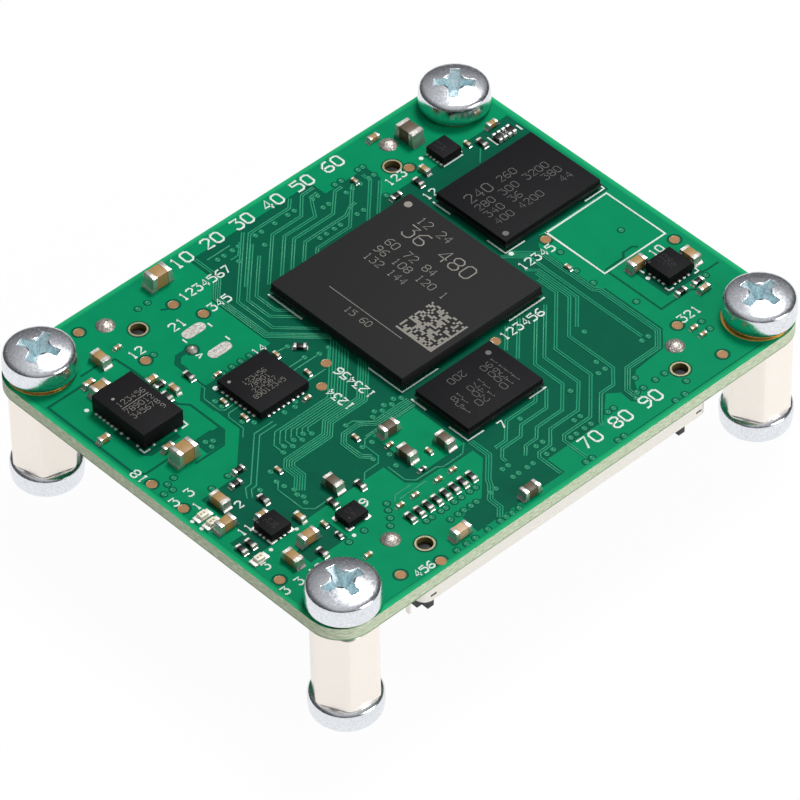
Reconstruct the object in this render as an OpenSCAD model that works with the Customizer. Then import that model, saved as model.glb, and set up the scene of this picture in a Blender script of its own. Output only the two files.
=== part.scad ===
// System on module: a small circuit board with its chips, two board-to-board
// connectors underneath and a hexagon spacer with two screws at each corner.
// The feet stand on z = 0 and the board is centred on the z axis.

/* [Board] */
// Length of the board
board_l = 50; // [50:0.5:60]
// Width of the board
board_w = 40; // [40:0.5:50]
// Thickness of the laminate
board_t = 1.2; // [0.8:0.1:2]
// Radius of the board's corners
board_corner_r = 3; // [1:0.25:4]
// Distance of a mounting hole from both edges of its corner
hole_inset = 3; // [3:0.05:3.3]
// Diameter of a mounting hole
hole_d = 3.4; // [3.4:0.05:3.8]
// Diameter of the copper pad round a mounting hole
mount_pad_d = 5.9; // [5:0.1:6]
// Thickness of the copper pads
pad_t = 0.04; // [0.02:0.01:0.1]
// Diameter of a round test pad
test_pad_d = 0.95; // [0.6:0.05:1.1]
// Length of an oblong jumper pad
jumper_pad_l = 2.2; // [1.6:0.1:2.4]
// Width of an oblong jumper pad
jumper_pad_w = 1.0; // [0.6:0.05:1.2]

/* [Spacers and screws] */
// Width of a spacer across its flats
spacer_af = 5; // [4.5:0.1:5.5]
// Length of a spacer
spacer_l = 8; // [7.8:0.1:12]
// Diameter of a spacer's tapped bore
spacer_bore_d = 2.9; // [2.85:0.01:3.1]
// Depth of the turned chamfer at a spacer's ends
spacer_chamfer = 0.2; // [0.05:0.05:0.4]
// Diameter of a screw head
head_d = 5.95; // [5.4:0.05:6.2]
// Height of a screw head
head_h = 2.4; // [2.1:0.05:2.6]
// Height at which the side of a screw head begins to lean in
head_side_h = 0.8; // [0.4:0.05:1.4]
// Height of the ridge between the side of a screw head and its dome
head_ridge_h = 1.85; // [1.6:0.05:2]
// Diameter of that ridge
head_ridge_d = 5.3; // [4.8:0.05:5.35]
// Radius of a screw head's dome, which ends in a flat
head_dome_r = 5; // [4.5:0.25:6]
// Diameter of a screw's shank
shank_d = 2.8; // [2.5:0.05:2.8]
// Length of the shank of a screw above the board
top_shank_l = 5; // [3.5:0.25:5]
// Gap left inside a spacer between the ends of its two screws
screw_end_gap = 0.28; // [0.1:0.02:2]
// Span of the cross recess in a screw head
recess_span = 3.3; // [2:0.1:3.4]
// Width of one wing of the cross recess
recess_wing_w = 0.8; // [0.5:0.05:1]
// Depth of the cross recess
recess_depth = 1.4; // [0.8:0.1:1.6]

/* [Ball grid packages] */
// Side of the square processor package
processor_side = 15; // [13.9:0.1:15.2]
// Thickness of the processor's mould
processor_mold_t = 0.6; // [0.4:0.05:1]
// Height of the processor's solder balls
processor_ball_h = 0.35; // [0.25:0.01:0.45]
// Length of the memory package
memory_l = 10.5; // [9:0.1:10.8]
// Width of the memory package
memory_w = 8; // [6.5:0.1:9]
// Thickness of the memory's mould
memory_mold_t = 0.45; // [0.3:0.05:0.8]
// Length of the flash package
flash_l = 8; // [6:0.1:8.4]
// Width of the flash package
flash_w = 6; // [5:0.1:6.4]
// Thickness of the flash memory's mould
flash_mold_t = 0.4; // [0.3:0.05:0.8]
// Height of the solder balls under the memory and the flash
small_ball_h = 0.3; // [0.2:0.01:0.4]
// Thickness of a package's laminate substrate
substrate_t = 0.3; // [0.2:0.02:0.5]
// Inset of the mould from the substrate's edge
mold_inset = 0.05; // [0.02:0.01:0.3]

/* [Leadless packages] */
// Side of the square controller package
controller_side = 5; // [4:0.1:5.2]
// Thickness of the controller package
controller_t = 0.75; // [0.5:0.05:1]
// Width of the power module along the board's length
power_l = 4; // [3:0.1:4.2]
// Width of the power module along the board's width
power_w = 6; // [4.6:0.1:6.2]
// Thickness of the power module
power_t = 1.55; // [1:0.05:2]
// Side of the square termination regulator
termination_side = 2; // [1.6:0.05:2.2]
// Side of the square memory regulator
regulator_side = 2.6; // [2:0.05:2.7]
// Thickness of the memory regulator
regulator_t = 0.9; // [0.6:0.05:1.2]
// Side of the square load switch
switch_side = 2; // [1.6:0.05:2.1]
// Thickness of the termination regulator and the load switch
small_chip_t = 0.75; // [0.5:0.05:1]
// Length of the oscillator
oscillator_l = 2; // [1.6:0.05:2.2]
// Width of the oscillator
oscillator_w = 1.6; // [1.2:0.05:1.7]
// Thickness of the oscillator
oscillator_t = 0.65; // [0.4:0.05:0.9]
// Thickness of a soldered land under a leadless package
land_t = 0.05; // [0.03:0.01:0.1]
// How far a land stands out from under its package
land_reach = 0.3; // [0.1:0.05:0.3]

/* [Chip components] */
// Length of a bulk capacitor
bulk_l = 2; // [1.6:0.05:2.1]
// Width of a bulk capacitor
bulk_w = 1.25; // [1:0.05:1.4]
// Height of a bulk capacitor
bulk_h = 1.35; // [0.8:0.05:1.6]
// Length of a filter capacitor
filter_l = 1.6; // [1.4:0.05:1.65]
// Width of a filter capacitor
filter_w = 0.85; // [0.6:0.05:0.9]
// Height of a filter capacitor
filter_h = 0.85; // [0.5:0.05:1]
// Length of a bypass capacitor
bypass_l = 1; // [0.8:0.05:1.05]
// Width of a bypass capacitor
bypass_w = 0.5; // [0.4:0.02:0.56]
// Height of a bypass capacitor
bypass_h = 0.5; // [0.3:0.02:0.6]
// Length of a tiny capacitor
tiny_l = 0.65; // [0.5:0.01:0.7]
// Width of a tiny capacitor
tiny_w = 0.32; // [0.25:0.01:0.36]
// Height of a tiny capacitor
tiny_h = 0.3; // [0.2:0.01:0.4]
// Length of a chip resistor
resistor_l = 1; // [0.8:0.05:1.05]
// Width of a chip resistor
resistor_w = 0.5; // [0.4:0.02:0.56]
// Height of a chip resistor
resistor_h = 0.35; // [0.25:0.01:0.5]
// Length of the resistor array
array_l = 2; // [1.6:0.05:2.1]
// Width of the resistor array
array_w = 1; // [0.9:0.05:1.1]
// Length of an indicator lamp
led_l = 1.5; // [1.2:0.05:1.6]
// Width of an indicator lamp
led_w = 0.75; // [0.6:0.05:0.8]
// Height of an indicator lamp
led_h = 0.45; // [0.35:0.02:0.7]
// Inset of a chip component's body from its end caps
cap_skin = 0.02; // [0.01:0.005:0.04]

/* [Board-to-board connectors] */
// Outer length of a connector's shield
connector_l = 30.3; // [30:0.1:32]
// Outer width of a connector's shield
connector_w = 5.2; // [5.2:0.1:5.6]
// Depth of the shield's free edge below the board
shield_depth = 3.2; // [2.9:0.05:3.6]
// Wall of the shield
shield_wall = 0.2; // [0.1:0.02:0.3]
// Outer radius of the shield's corners
shield_corner_r = 0.9; // [0.6:0.05:1.2]
// Gap between the board and the shield's upper edge
shield_gap = 0.3; // [0.25:0.05:0.5]
// Clearance between a housing and its shield
shield_fit = 0.05; // [0.02:0.01:0.1]
// Depth of the housing's guide posts below the board
post_depth = 4.8; // [4:0.1:5.5]
// Depth of the housing's floor below the board
floor_depth = 1.2; // [0.8:0.05:1.5]
// Depth of the tall contact tongue below the board
tall_tongue_depth = 3.6; // [3.4:0.05:4]
// Depth of the low contact wall below the board
low_wall_depth = 2.8; // [2.6:0.05:3]
// Contacts in one row
row_count = 50; // [10:1:50]
// Distance between contacts
contact_pitch = 0.5; // [0.4:0.01:0.5]
// Width of a contact
contact_w = 0.2; // [0.1:0.01:0.26]
// Thickness of a contact
contact_t = 0.15; // [0.08:0.01:0.2]
// Clearance of a contact in its slot
contact_fit = 0.02; // [0.01:0.005:0.04]
// Diameter of an alignment peg
peg_d = 1.2; // [0.8:0.05:1.25]
// Diameter of the hole for an alignment peg
peg_hole_d = 1.3; // [1.3:0.02:1.36]
// Length of an alignment peg inside the board
peg_l = 0.75; // [0.4:0.05:0.8]
// Outer diameter of the plated ring round a peg hole
peg_ring_d = 1.6; // [1.5:0.02:1.8]
// Diameter of the hole for a shield's lock pin
lock_hole_d = 0.9; // [0.8:0.02:1.1]
// Diameter of the solder on a lock pin
lock_solder_d = 1.6; // [1.2:0.05:1.7]
// Height of the solder on a lock pin
lock_solder_h = 0.35; // [0.2:0.02:0.6]

/* [Hidden] */
$fn = 48;
// Overlap of a cutting shape past the face that it opens
cut = 0.5;
// Straight edge left between the two round corners of an oblong pad's end
pad_flat = 0.02;

// Heights of the stack, from the feet up
spacer_z = head_h;
board_z = spacer_z + spacer_l + pad_t;
top_z = board_z + board_t;
head_z = top_z + pad_t;
hole_x = board_l / 2 - hole_inset;
hole_y = board_w / 2 - hole_inset;
top_thread_l = top_shank_l - board_t - 2 * pad_t;
foot_shank_l = spacer_l - top_thread_l - screw_end_gap;

// Corners as [sign of x, sign of y, turn of the spacer, turn of the top recess, turn of the foot recess,
// x and y by which the spacer and its screws sit off the middle of their clearance hole]
corners = [
    [-1, -1, -4.5, -9, 30, 0, -0.25],
    [1, -1, -4, 5, 15, 0.25, 0],
    [-1, 1, -16.5, 25, 50, 0.15, 0.2],
    [1, 1, 10, 44, 75, 0.2, 0.2]
];
function spacer_at(c, z) = [c[0] * hole_x + c[5], c[1] * hole_y + c[6], z];

// Connector centre lines and what they hold, in the connector's own frame with z down
front_connector_inset = 4;
rear_connector_inset = 3.7;
front_connector_y = front_connector_inset - board_w / 2;
rear_connector_y = board_w / 2 - rear_connector_inset;
peg_from_end = 1.65;
peg_x = connector_l / 2 - peg_from_end;
peg_dy = -1.05;
lock_dy = 1.05;
lock_pin_w = 0.6;
lock_x = connector_l / 2 - shield_wall / 2;
housing_l = connector_l - 2 * (shield_wall + shield_fit);
housing_w = connector_w - 2 * (shield_wall + shield_fit);
housing_corner_r = shield_corner_r - shield_wall - shield_fit;
end_block_l = 2;
end_block_depth = 2.6;
leg_y = 0.6;
leg_inset = 0.1;
leg_stop = 0.3;
tall_leg_depth = tall_tongue_depth - leg_stop;
low_leg_depth = low_wall_depth - leg_stop;
tall_tongue_t = 1.05;
low_wall_t = 0.9;
tail_reach = 0.35;
tail_end_y = connector_w / 2 + tail_reach;
tongue_face_y = leg_y + contact_t - leg_inset;
slot_from_end = 1.05;
shield_slot_x = connector_l / 2 - slot_from_end;
shield_slot_l = 0.6;
shield_slot_h = 0.22;
shield_slot_depth = 2.67;
end_tab_w = 0.4;
end_tab_t = 0.2;
end_tab_y = 1;
end_tab_from = 1;
end_tab_depth = 5;

// Guide posts as [distance from the housing's end, distance from its side, length, width], for the posts
// at the left end of one long side; half a turn gives the others
guide_posts = [[0.8, 0.45, 0.65, 0.7], [0.3, 1.1, 0.55, 0.7]];
// The post near the other end of the same side
far_post = [1.6, 0.45, 0.65, 0.7];

// The places below are drawn for a board of 50 by 40, and spread with the board's own size
spread_x = board_l / 50;
spread_y = board_w / 40;
function spread(p) = [p[0] * spread_x, p[1] * spread_y];
function spread_all(spots) = [for (p = spots) concat(spread(p), [for (i = [2 : 1 : len(p) - 1]) p[i]])];

// Distance of the bulk capacitor from the middle of the lock pin beside it
bulk_from_lock = 1.7;
// Place of the tiny capacitors between a connector's lock pin and the mounting hole beside it
tiny_from_middle = 1.075;
tiny_beside_lock = (lock_x + hole_x) / 2 - tiny_from_middle;
// Distance along both edges of a test pad from the alignment peg beside it
pad_from_peg = [0.85, -1.05];

// Round copper pads that stay bare, each [x, y]
test_pad_spots = concat(
    spread_all([
        [-9.7, 15.45], [-8.7, 13.05], [-15.4, 12.25], [-24.05, 1.85], [-5.6, 2.35], [-7.6, 0.7],
        [-24.05, -1.75], [-23.9, -12.3], [-13.9, -19.2], [16.3, 0.65], [5.45, -4.95],
        [23.55, -6.4], [16.8, -13.45], [-17.05, 18.2], [-17.05, -18.15], [17, -18.15], [-12.05, 10.65]
    ]),
    [[peg_x + pad_from_peg[0], rear_connector_y + peg_dy + pad_from_peg[1]]]
);
jumper_pad_spots = spread_all([[-10.5, 12.15], [-10.5, 9.15]]);

// Package centres
processor_at = spread([4, 3.55]);
memory_at = spread([18.3, 5.8]);
flash_at = spread([0.55, -8.25]);
controller_at = spread([-10.95, 3.7]);
power_at = spread([-20, 7.95]);
termination_at = spread([17.5, 13.5]);
regulator_at = spread([20.7, -8.65]);
switch_at = spread([-20.7, -8.05]);
oscillator_at = spread([-15.6, -11.25]);
array_at = spread([22.45, 11.7]);

// Ball grids as [columns, rows, pitch, ball diameter]
processor_grid = [18, 18, 0.8, 0.45];
memory_half_grid = [13, 3, 0.8, 0.42];
flash_grid = [5, 5, 1, 0.4];
// Distance from the memory's long edge to its nearest balls
memory_ball_inset = 0.8;
// Shares of a ball's diameter at its flat ends, and of its height at its widest band
ball_end_share = 0.8;
ball_band_share = 0.3;

// Lands of the leadless packages, as [lands along a side, pitch, width]
controller_row = [8, 0.5, 0.25];
termination_row = [5, 0.4, 0.22];
regulator_row = [4, 0.5, 0.24];
switch_row = [4, 0.42, 0.24];
power_end_row = [2, 2.2, 0.25];
// Lands along the power module's sides, measured from its middle, and their width
power_side_lands = [2.45, 2, 1.55, 1.1, 0.65, 0.2, -0.45, -1.2, -2.3];
power_land_w = 0.24;
// How far a land goes in under its package, and how far in the middle pad starts
land_in = 0.3;
middle_pad_inset = 0.6;
oscillator_land = [0.75, 0.6];

// Chip components, each [x, y, turn]
bulk_spots = concat(
    spread_all([[-8.9, 18.1, 0], [-20.4, 2.2, 0]]),
    [[lock_x + bulk_from_lock, 16.7 * spread_y, 90]]
);
filter_spots = spread_all([
    [-18.05, 14.5, 90], [-20.25, 12.05, 0], [-21.75, -3.3, 90], [-23.1, -5.45, 0], [-19.55, -10.75, 0],
    [-21.9, -11.6, 90], [-14.35, -7.9, 90], [-7.3, -6.5, 0], [-8.15, -9.4, 90], [-5.15, -10.4, 90],
    [-10.95, -18.25, 0], [-4.2, -18.75, 0], [19.2, -6.6, 0], [22.85, -8.85, 90]
]);
bypass_spots = spread_all([
    [-20.4, 13.15, 0], [-16.65, 10.15, 0], [-16.05, 8.2, 90], [-23.55, 7.85, 0], [-20.65, 3.75, 0],
    [-20.4, -6.5, 0], [-18.5, -8.65, 90], [14.55, 18.6, 0], [14.9, 13, 90], [22.5, 13.2, 0],
    [21.1, -12.1, 0]
]);
tiny_spots = concat(
    [
        [tiny_beside_lock, -14.6 * spread_y, 0],
        [tiny_beside_lock, -15.6 * spread_y, 0],
        [-tiny_beside_lock, -15.05 * spread_y, 0]
    ],
    spread_all([
        [-16.1, 14.75, 0], [-12.55, 7.15, 0], [-7.8, 5.65, 90], [-14.2, 4.6, 90], [-14.2, 2.25, 90],
        [-7.4, 2.5, 90], [-9.35, 0.45, 0], [-16.2, -3.75, 90], [-9.6, -5.25, 90], [-8.3, -7.65, 0],
        [-6.6, -10.2, 90], [-12.15, -12.9, 0], [-10.6, -12.9, 0], [-8.2, -12.9, 0], [-6.7, -12.9, 0],
        [-17.6, -10.4, 90], [10.1, 16, 90], [19.55, 12.95, 90], [15.25, -2.95, 90],
        [-17.6, -12, 90], [-8.35, -11.3, 0]
    ])
);
// The row of resistors beside the front connector, then the single ones
resistor_row = spread([-12.5, -14.4]);
resistor_row_count = 8;
resistor_row_pitch = 0.9;
resistor_spots = concat(
    [
        for (i = [0 : resistor_row_count - 1])
            [resistor_row[0] + i * resistor_row_pitch, resistor_row[1], 90]
    ],
    spread_all([
        [-16.55, 9.35, 0], [-16.95, 8.05, 90], [-14.25, 8.55, 90], [-5.9, 5, -45], [-18.4, -1.7, 0],
        [-19.55, -2.65, 0], [-19.15, -5.3, 90], [-23.9, -8.1, 90], [-23, -8.1, 90], [-19.75, -12.5, 90],
        [-15.65, -9.25, 90], [-12.85, -9.25, 90], [13.6, 12.35, 90], [11.2, 12.35, 0], [20.45, 12.2, 90],
        [19.6, -11.05, 0], [21.35, -11.15, 0]
    ])
);
led_spots = spread_all([[-23.6, -3.45, 0], [-23.6, -4.5, 0], [-23.6, -9.75, 0]]);

// Lengths of the metal end caps of each chip component
bulk_cap_l = 0.45;
filter_cap_l = 0.35;
bypass_cap_l = 0.25;
tiny_cap_l = 0.17;
resistor_cap_l = 0.22;
led_cap_l = 0.3;
led_base_t = 0.2;
led_lens_inset = 0.08;
array_h = 0.4;
array_cap_w = 0.2;
array_cap_l = 0.32;
array_pitch = 0.5;
array_count = 4;

// Pieces under the board
underside_chip_side = 5;
underside_chip_t = 0.85;
underside_chip_row = [8, 0.5, 0.25];
underside_chip_spots = spread_all([[-13, -4], [-13, 5]]);
underside_cap_pitch = 2;
underside_cap_count = 4;
underside_cap_spots = [
    for (i = [0 : underside_cap_count - 1], j = [0 : underside_cap_count - 1])
        [processor_at[0] + (i - (underside_cap_count - 1) / 2) * underside_cap_pitch,
         processor_at[1] + (j - (underside_cap_count - 1) / 2) * underside_cap_pitch, 0]
];
inductor_at = spread([-22.6, -9.8]);
inductor_size = [2, 1.6, 1.2];
inductor_cap_l = 0.4;

// A flat rectangle with round corners
module round_rect(l, w, r) {
    square([l - 2 * r, w], center = true);
    square([l, w - 2 * r], center = true);
    for (sx = [-1, 1], sy = [-1, 1])
        translate([sx * (l / 2 - r), sy * (w / 2 - r)]) circle(r);
}

// A block that stands on z, centred on a point of the plan
module block(at, size, z) {
    translate([at[0] - size[0] / 2, at[1] - size[1] / 2, z]) cube(size);
}

// The four mounting holes' places
module at_corners() {
    for (c = corners)
        translate([c[0] * hole_x, c[1] * hole_y, 0]) children();
}

// Both connectors' frames, with z pointing down from the board's underside
module connector_frame(y) {
    translate([0, y, board_z]) mirror([0, 0, 1]) children();
}

// Copies a shape to its own place and to the place half a turn round
module both_ways() {
    children();
    rotate(180) children();
}

module circuit_board() {
    color([0.04, 0.5, 0.35])
    translate([0, 0, board_z])
    difference() {
        linear_extrude(board_t) round_rect(board_l, board_w, board_corner_r);
        translate([0, 0, -cut]) {
            at_corners() cylinder(d = hole_d, h = board_t + 2 * cut);
            for (y = [front_connector_y, rear_connector_y], sx = [-1, 1]) {
                translate([sx * peg_x, y + peg_dy, 0]) cylinder(d = peg_hole_d, h = board_t + 2 * cut);
                translate([sx * lock_x, y + lock_dy, 0]) cylinder(d = lock_hole_d, h = board_t + 2 * cut);
            }
        }
    }
}

module mounting_pads() {
    color([0.75, 0.58, 0.3])
    for (z = [board_z - pad_t, top_z])
        translate([0, 0, z])
            at_corners()
                difference() {
                    cylinder(d = mount_pad_d, h = pad_t);
                    translate([0, 0, -cut]) cylinder(d = hole_d, h = pad_t + 2 * cut);
                }
}

module test_pads() {
    color([0.65, 0.42, 0.24])
    for (p = test_pad_spots)
        translate([p[0], p[1], top_z]) cylinder(d = test_pad_d, h = pad_t);
}

module peg_hole_rings() {
    color([0.6, 0.52, 0.3])
    for (y = [front_connector_y, rear_connector_y], sx = [-1, 1])
        translate([sx * peg_x, y + peg_dy, top_z])
            difference() {
                cylinder(d = peg_ring_d, h = pad_t);
                translate([0, 0, -cut]) cylinder(d = peg_hole_d, h = pad_t + 2 * cut);
            }
}

module jumper_pads() {
    color([0.72, 0.68, 0.66])
    for (p = jumper_pad_spots)
        translate([p[0], p[1], top_z])
            linear_extrude(pad_t) round_rect(jumper_pad_l, jumper_pad_w, (jumper_pad_w - pad_flat) / 2);
}

// A cap of a sphere that covers the end of a lock pin
module lock_pin_solder() {
    solder_r = lock_solder_d / 2;
    ball_r = (solder_r * solder_r + lock_solder_h * lock_solder_h) / (2 * lock_solder_h);
    color([0.75, 0.73, 0.7])
    for (y = [front_connector_y, rear_connector_y], sx = [-1, 1])
        translate([sx * lock_x, y + lock_dy, top_z])
            intersection() {
                translate([0, 0, lock_solder_h - ball_r]) sphere(ball_r);
                cylinder(d = lock_solder_d + cut, h = lock_solder_h + cut);
            }
}

// A hexagon bar with a tapped bore and turned chamfers at both ends
module spacer(c) {
    corner_r = spacer_af / sqrt(3);
    face_r = spacer_af / 2;
    color([0.86, 0.84, 0.81])
    translate(spacer_at(c, spacer_z))
    rotate(c[2])
    difference() {
        intersection() {
            cylinder(r = corner_r, h = spacer_l, $fn = 6);
            rotate_extrude()
                polygon([
                    [0, 0], [face_r, 0], [corner_r, spacer_chamfer],
                    [corner_r, spacer_l - spacer_chamfer], [face_r, spacer_l], [0, spacer_l]
                ]);
        }
        translate([0, 0, -cut]) cylinder(d = spacer_bore_d, h = spacer_l + 2 * cut);
    }
}

module spacer_front() { spacer(corners[0]); }
module spacer_right() { spacer(corners[1]); }
module spacer_left() { spacer(corners[2]); }
module spacer_rear() { spacer(corners[3]); }

// A pan head screw that stands on its bearing face, with its shank pointing down
module screw(shank_l, turn) {
    dome_z = head_ridge_h - sqrt(head_dome_r * head_dome_r - head_ridge_d * head_ridge_d / 4);
    lean = (head_d - head_ridge_d) / (head_ridge_h - head_side_h);
    lean_end_d = head_d - lean * (head_h - head_side_h);
    recess_flare = (recess_span - recess_wing_w) / recess_depth;
    difference() {
        union() {
            intersection() {
                rotate_extrude()
                    polygon([
                        [0, 0], [head_d / 2, 0], [head_d / 2, head_side_h],
                        [lean_end_d / 2, head_h], [0, head_h]
                    ]);
                translate([0, 0, dome_z]) sphere(head_dome_r, $fn = 96);
            }
            translate([0, 0, -shank_l]) cylinder(d = shank_d, h = shank_l + cut);
        }
        rotate(turn)
        intersection() {
            translate([0, 0, head_h - recess_depth])
                cylinder(d1 = recess_wing_w, d2 = recess_span + recess_flare * cut, h = recess_depth + cut);
            for (a = [0, 90])
                rotate(a)
                    translate([-recess_span, -recess_wing_w / 2, 0])
                        cube([2 * recess_span, recess_wing_w, head_h + cut]);
        }
    }
}

module top_screws() {
    color([0.74, 0.75, 0.77])
    for (c = corners)
        translate(spacer_at(c, head_z)) screw(top_shank_l, c[3]);
}

module foot_screws() {
    color([0.74, 0.75, 0.77])
    for (c = corners)
        translate(spacer_at(c, spacer_z)) mirror([0, 0, 1]) screw(foot_shank_l, c[4]);
}

// Balls of solder, flattened where they meet the board and the package
module ball_grid(at, grid, h) {
    ball_r = grid[3] / 2;
    end_r = ball_r * ball_end_share;
    band_h = h * ball_band_share;
    for (i = [0 : grid[0] - 1], j = [0 : grid[1] - 1])
        translate([
            at[0] + (i - (grid[0] - 1) / 2) * grid[2],
            at[1] + (j - (grid[1] - 1) / 2) * grid[2],
            top_z
        ])
            rotate_extrude($fn = 16)
                polygon([[0, 0], [end_r, 0], [ball_r, (h - band_h) / 2], [ball_r, (h + band_h) / 2],
                         [end_r, h], [0, h]]);
}

module ball_package_substrate(at, l, w, ball_h) {
    block(at, [l, w, substrate_t], top_z + ball_h);
}

module ball_package_mold(at, l, w, ball_h, mold_t) {
    block(at, [l - 2 * mold_inset, w - 2 * mold_inset, mold_t], top_z + ball_h + substrate_t);
}

module processor_mold() {
    color([0.18, 0.18, 0.19])
    ball_package_mold(processor_at, processor_side, processor_side, processor_ball_h, processor_mold_t);
}

module processor_substrate() {
    color([0.09, 0.16, 0.12])
    ball_package_substrate(processor_at, processor_side, processor_side, processor_ball_h);
}

module processor_balls() {
    color([0.7, 0.7, 0.7]) ball_grid(processor_at, processor_grid, processor_ball_h);
}

module memory_mold() {
    color([0.15, 0.14, 0.15]) ball_package_mold(memory_at, memory_l, memory_w, small_ball_h, memory_mold_t);
}

module memory_substrate() {
    color([0.1, 0.13, 0.1]) ball_package_substrate(memory_at, memory_l, memory_w, small_ball_h);
}

// Some rows of balls at each long edge, with none between them
module memory_balls() {
    rows_w = (memory_half_grid[1] - 1) * memory_half_grid[2];
    row_offset = (memory_w - rows_w) / 2 - memory_ball_inset;
    color([0.7, 0.7, 0.7])
    for (s = [-1, 1])
        ball_grid([memory_at[0], memory_at[1] + s * row_offset], memory_half_grid, small_ball_h);
}

module flash_mold() {
    color([0.14, 0.13, 0.13]) ball_package_mold(flash_at, flash_l, flash_w, small_ball_h, flash_mold_t);
}

module flash_substrate() {
    color([0.1, 0.12, 0.1]) ball_package_substrate(flash_at, flash_l, flash_w, small_ball_h);
}

module flash_balls() {
    color([0.7, 0.7, 0.7]) ball_grid(flash_at, flash_grid, small_ball_h);
}

// A land under the edge of a leadless package that faces -y
module land(x, land_w, half) {
    translate([x - land_w / 2, -half - land_reach, 0]) cube([land_w, land_reach + land_in, land_t]);
}

// Lands along one side of a leadless package; the side faces -y before it is turned
module land_row(row, side, half) {
    rotate(side)
    for (i = [0 : row[0] - 1])
        land((i - (row[0] - 1) / 2) * row[1], row[2], half);
}

// The soldered pad under the middle of a leadless package
module middle_pad(l, w) {
    block([0, 0], [l - 2 * middle_pad_inset, w - 2 * middle_pad_inset, land_t], 0);
}

// A square leadless package's lands with the pad under its middle
module square_lands(side_l, row, sides) {
    for (side = sides)
        land_row(row, side, side_l / 2);
    middle_pad(side_l, side_l);
}

module controller_body() {
    color([0.13, 0.13, 0.13])
    block(controller_at, [controller_side, controller_side, controller_t], top_z + land_t);
}

module controller_lands() {
    color([0.78, 0.77, 0.75])
    translate([controller_at[0], controller_at[1], top_z])
        square_lands(controller_side, controller_row, [0, 90, 180, 270]);
}

module power_module_body() {
    color([0.12, 0.12, 0.13]) block(power_at, [power_l, power_w, power_t], top_z + land_t);
}

module power_module_lands() {
    color([0.78, 0.77, 0.75])
    translate([power_at[0], power_at[1], top_z]) {
        for (y = power_side_lands) {
            rotate(-90) land(-y, power_land_w, power_l / 2);
            rotate(90) land(y, power_land_w, power_l / 2);
        }
        for (side = [0, 180])
            land_row(power_end_row, side, power_w / 2);
        middle_pad(power_l, power_w);
    }
}

module termination_regulator_body() {
    color([0.13, 0.13, 0.13])
    block(termination_at, [termination_side, termination_side, small_chip_t], top_z + land_t);
}

module termination_regulator_lands() {
    color([0.78, 0.77, 0.75])
    translate([termination_at[0], termination_at[1], top_z])
        square_lands(termination_side, termination_row, [90, 270]);
}

module memory_regulator_body() {
    color([0.12, 0.12, 0.12])
    block(regulator_at, [regulator_side, regulator_side, regulator_t], top_z + land_t);
}

module memory_regulator_lands() {
    color([0.78, 0.77, 0.75])
    translate([regulator_at[0], regulator_at[1], top_z])
        square_lands(regulator_side, regulator_row, [0, 90, 180, 270]);
}

module load_switch_body() {
    color([0.12, 0.12, 0.12])
    block(switch_at, [switch_side, switch_side, small_chip_t], top_z + land_t);
}

module load_switch_lands() {
    color([0.78, 0.77, 0.75])
    translate([switch_at[0], switch_at[1], top_z])
        square_lands(switch_side, switch_row, [0, 90, 180, 270]);
}

module oscillator_body() {
    color([0.12, 0.12, 0.13])
    block(oscillator_at, [oscillator_l, oscillator_w, oscillator_t], top_z + land_t);
}

// Four lands that show past the corners of the package
module oscillator_lands() {
    color([0.78, 0.77, 0.75])
    for (sx = [-1, 1], sy = [-1, 1])
        block([
            oscillator_at[0] + sx * ((oscillator_l - oscillator_land[0]) / 2 + land_reach),
            oscillator_at[1] + sy * ((oscillator_w - oscillator_land[1]) / 2 + land_reach)
        ], [oscillator_land[0], oscillator_land[1], land_t], top_z);
}

// The body of a two-ended chip component, between its end caps
module chip_body(size, cap_l) {
    translate([-size[0] / 2 + cap_l, -size[1] / 2 + cap_skin, cap_skin])
        cube([size[0] - 2 * cap_l, size[1] - 2 * cap_skin, size[2] - 2 * cap_skin]);
}

// The two metal end caps of a chip component
module chip_caps(size, cap_l) {
    for (x = [-size[0] / 2, size[0] / 2 - cap_l])
        translate([x, -size[1] / 2, 0]) cube([cap_l, size[1], size[2]]);
}

module at_spots(spots, z) {
    for (p = spots)
        translate([p[0], p[1], z]) rotate(p[2]) children();
}

module bulk_capacitor_bodies() {
    color([0.66, 0.5, 0.3]) at_spots(bulk_spots, top_z) chip_body([bulk_l, bulk_w, bulk_h], bulk_cap_l);
}

module bulk_capacitor_terminals() {
    color([0.8, 0.79, 0.77]) at_spots(bulk_spots, top_z) chip_caps([bulk_l, bulk_w, bulk_h], bulk_cap_l);
}

module filter_capacitor_bodies() {
    color([0.6, 0.45, 0.27])
    at_spots(filter_spots, top_z) chip_body([filter_l, filter_w, filter_h], filter_cap_l);
}

module filter_capacitor_terminals() {
    color([0.8, 0.79, 0.77])
    at_spots(filter_spots, top_z) chip_caps([filter_l, filter_w, filter_h], filter_cap_l);
}

module bypass_capacitor_bodies() {
    color([0.66, 0.47, 0.3])
    at_spots(bypass_spots, top_z) chip_body([bypass_l, bypass_w, bypass_h], bypass_cap_l);
}

module bypass_capacitor_terminals() {
    color([0.8, 0.79, 0.77])
    at_spots(bypass_spots, top_z) chip_caps([bypass_l, bypass_w, bypass_h], bypass_cap_l);
}

module tiny_capacitor_bodies() {
    color([0.6, 0.42, 0.28]) at_spots(tiny_spots, top_z) chip_body([tiny_l, tiny_w, tiny_h], tiny_cap_l);
}

module tiny_capacitor_terminals() {
    color([0.8, 0.79, 0.77]) at_spots(tiny_spots, top_z) chip_caps([tiny_l, tiny_w, tiny_h], tiny_cap_l);
}

module resistor_bodies() {
    color([0.07, 0.07, 0.08])
    at_spots(resistor_spots, top_z) chip_body([resistor_l, resistor_w, resistor_h], resistor_cap_l);
}

module resistor_terminals() {
    color([0.82, 0.81, 0.79])
    at_spots(resistor_spots, top_z) chip_caps([resistor_l, resistor_w, resistor_h], resistor_cap_l);
}

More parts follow.
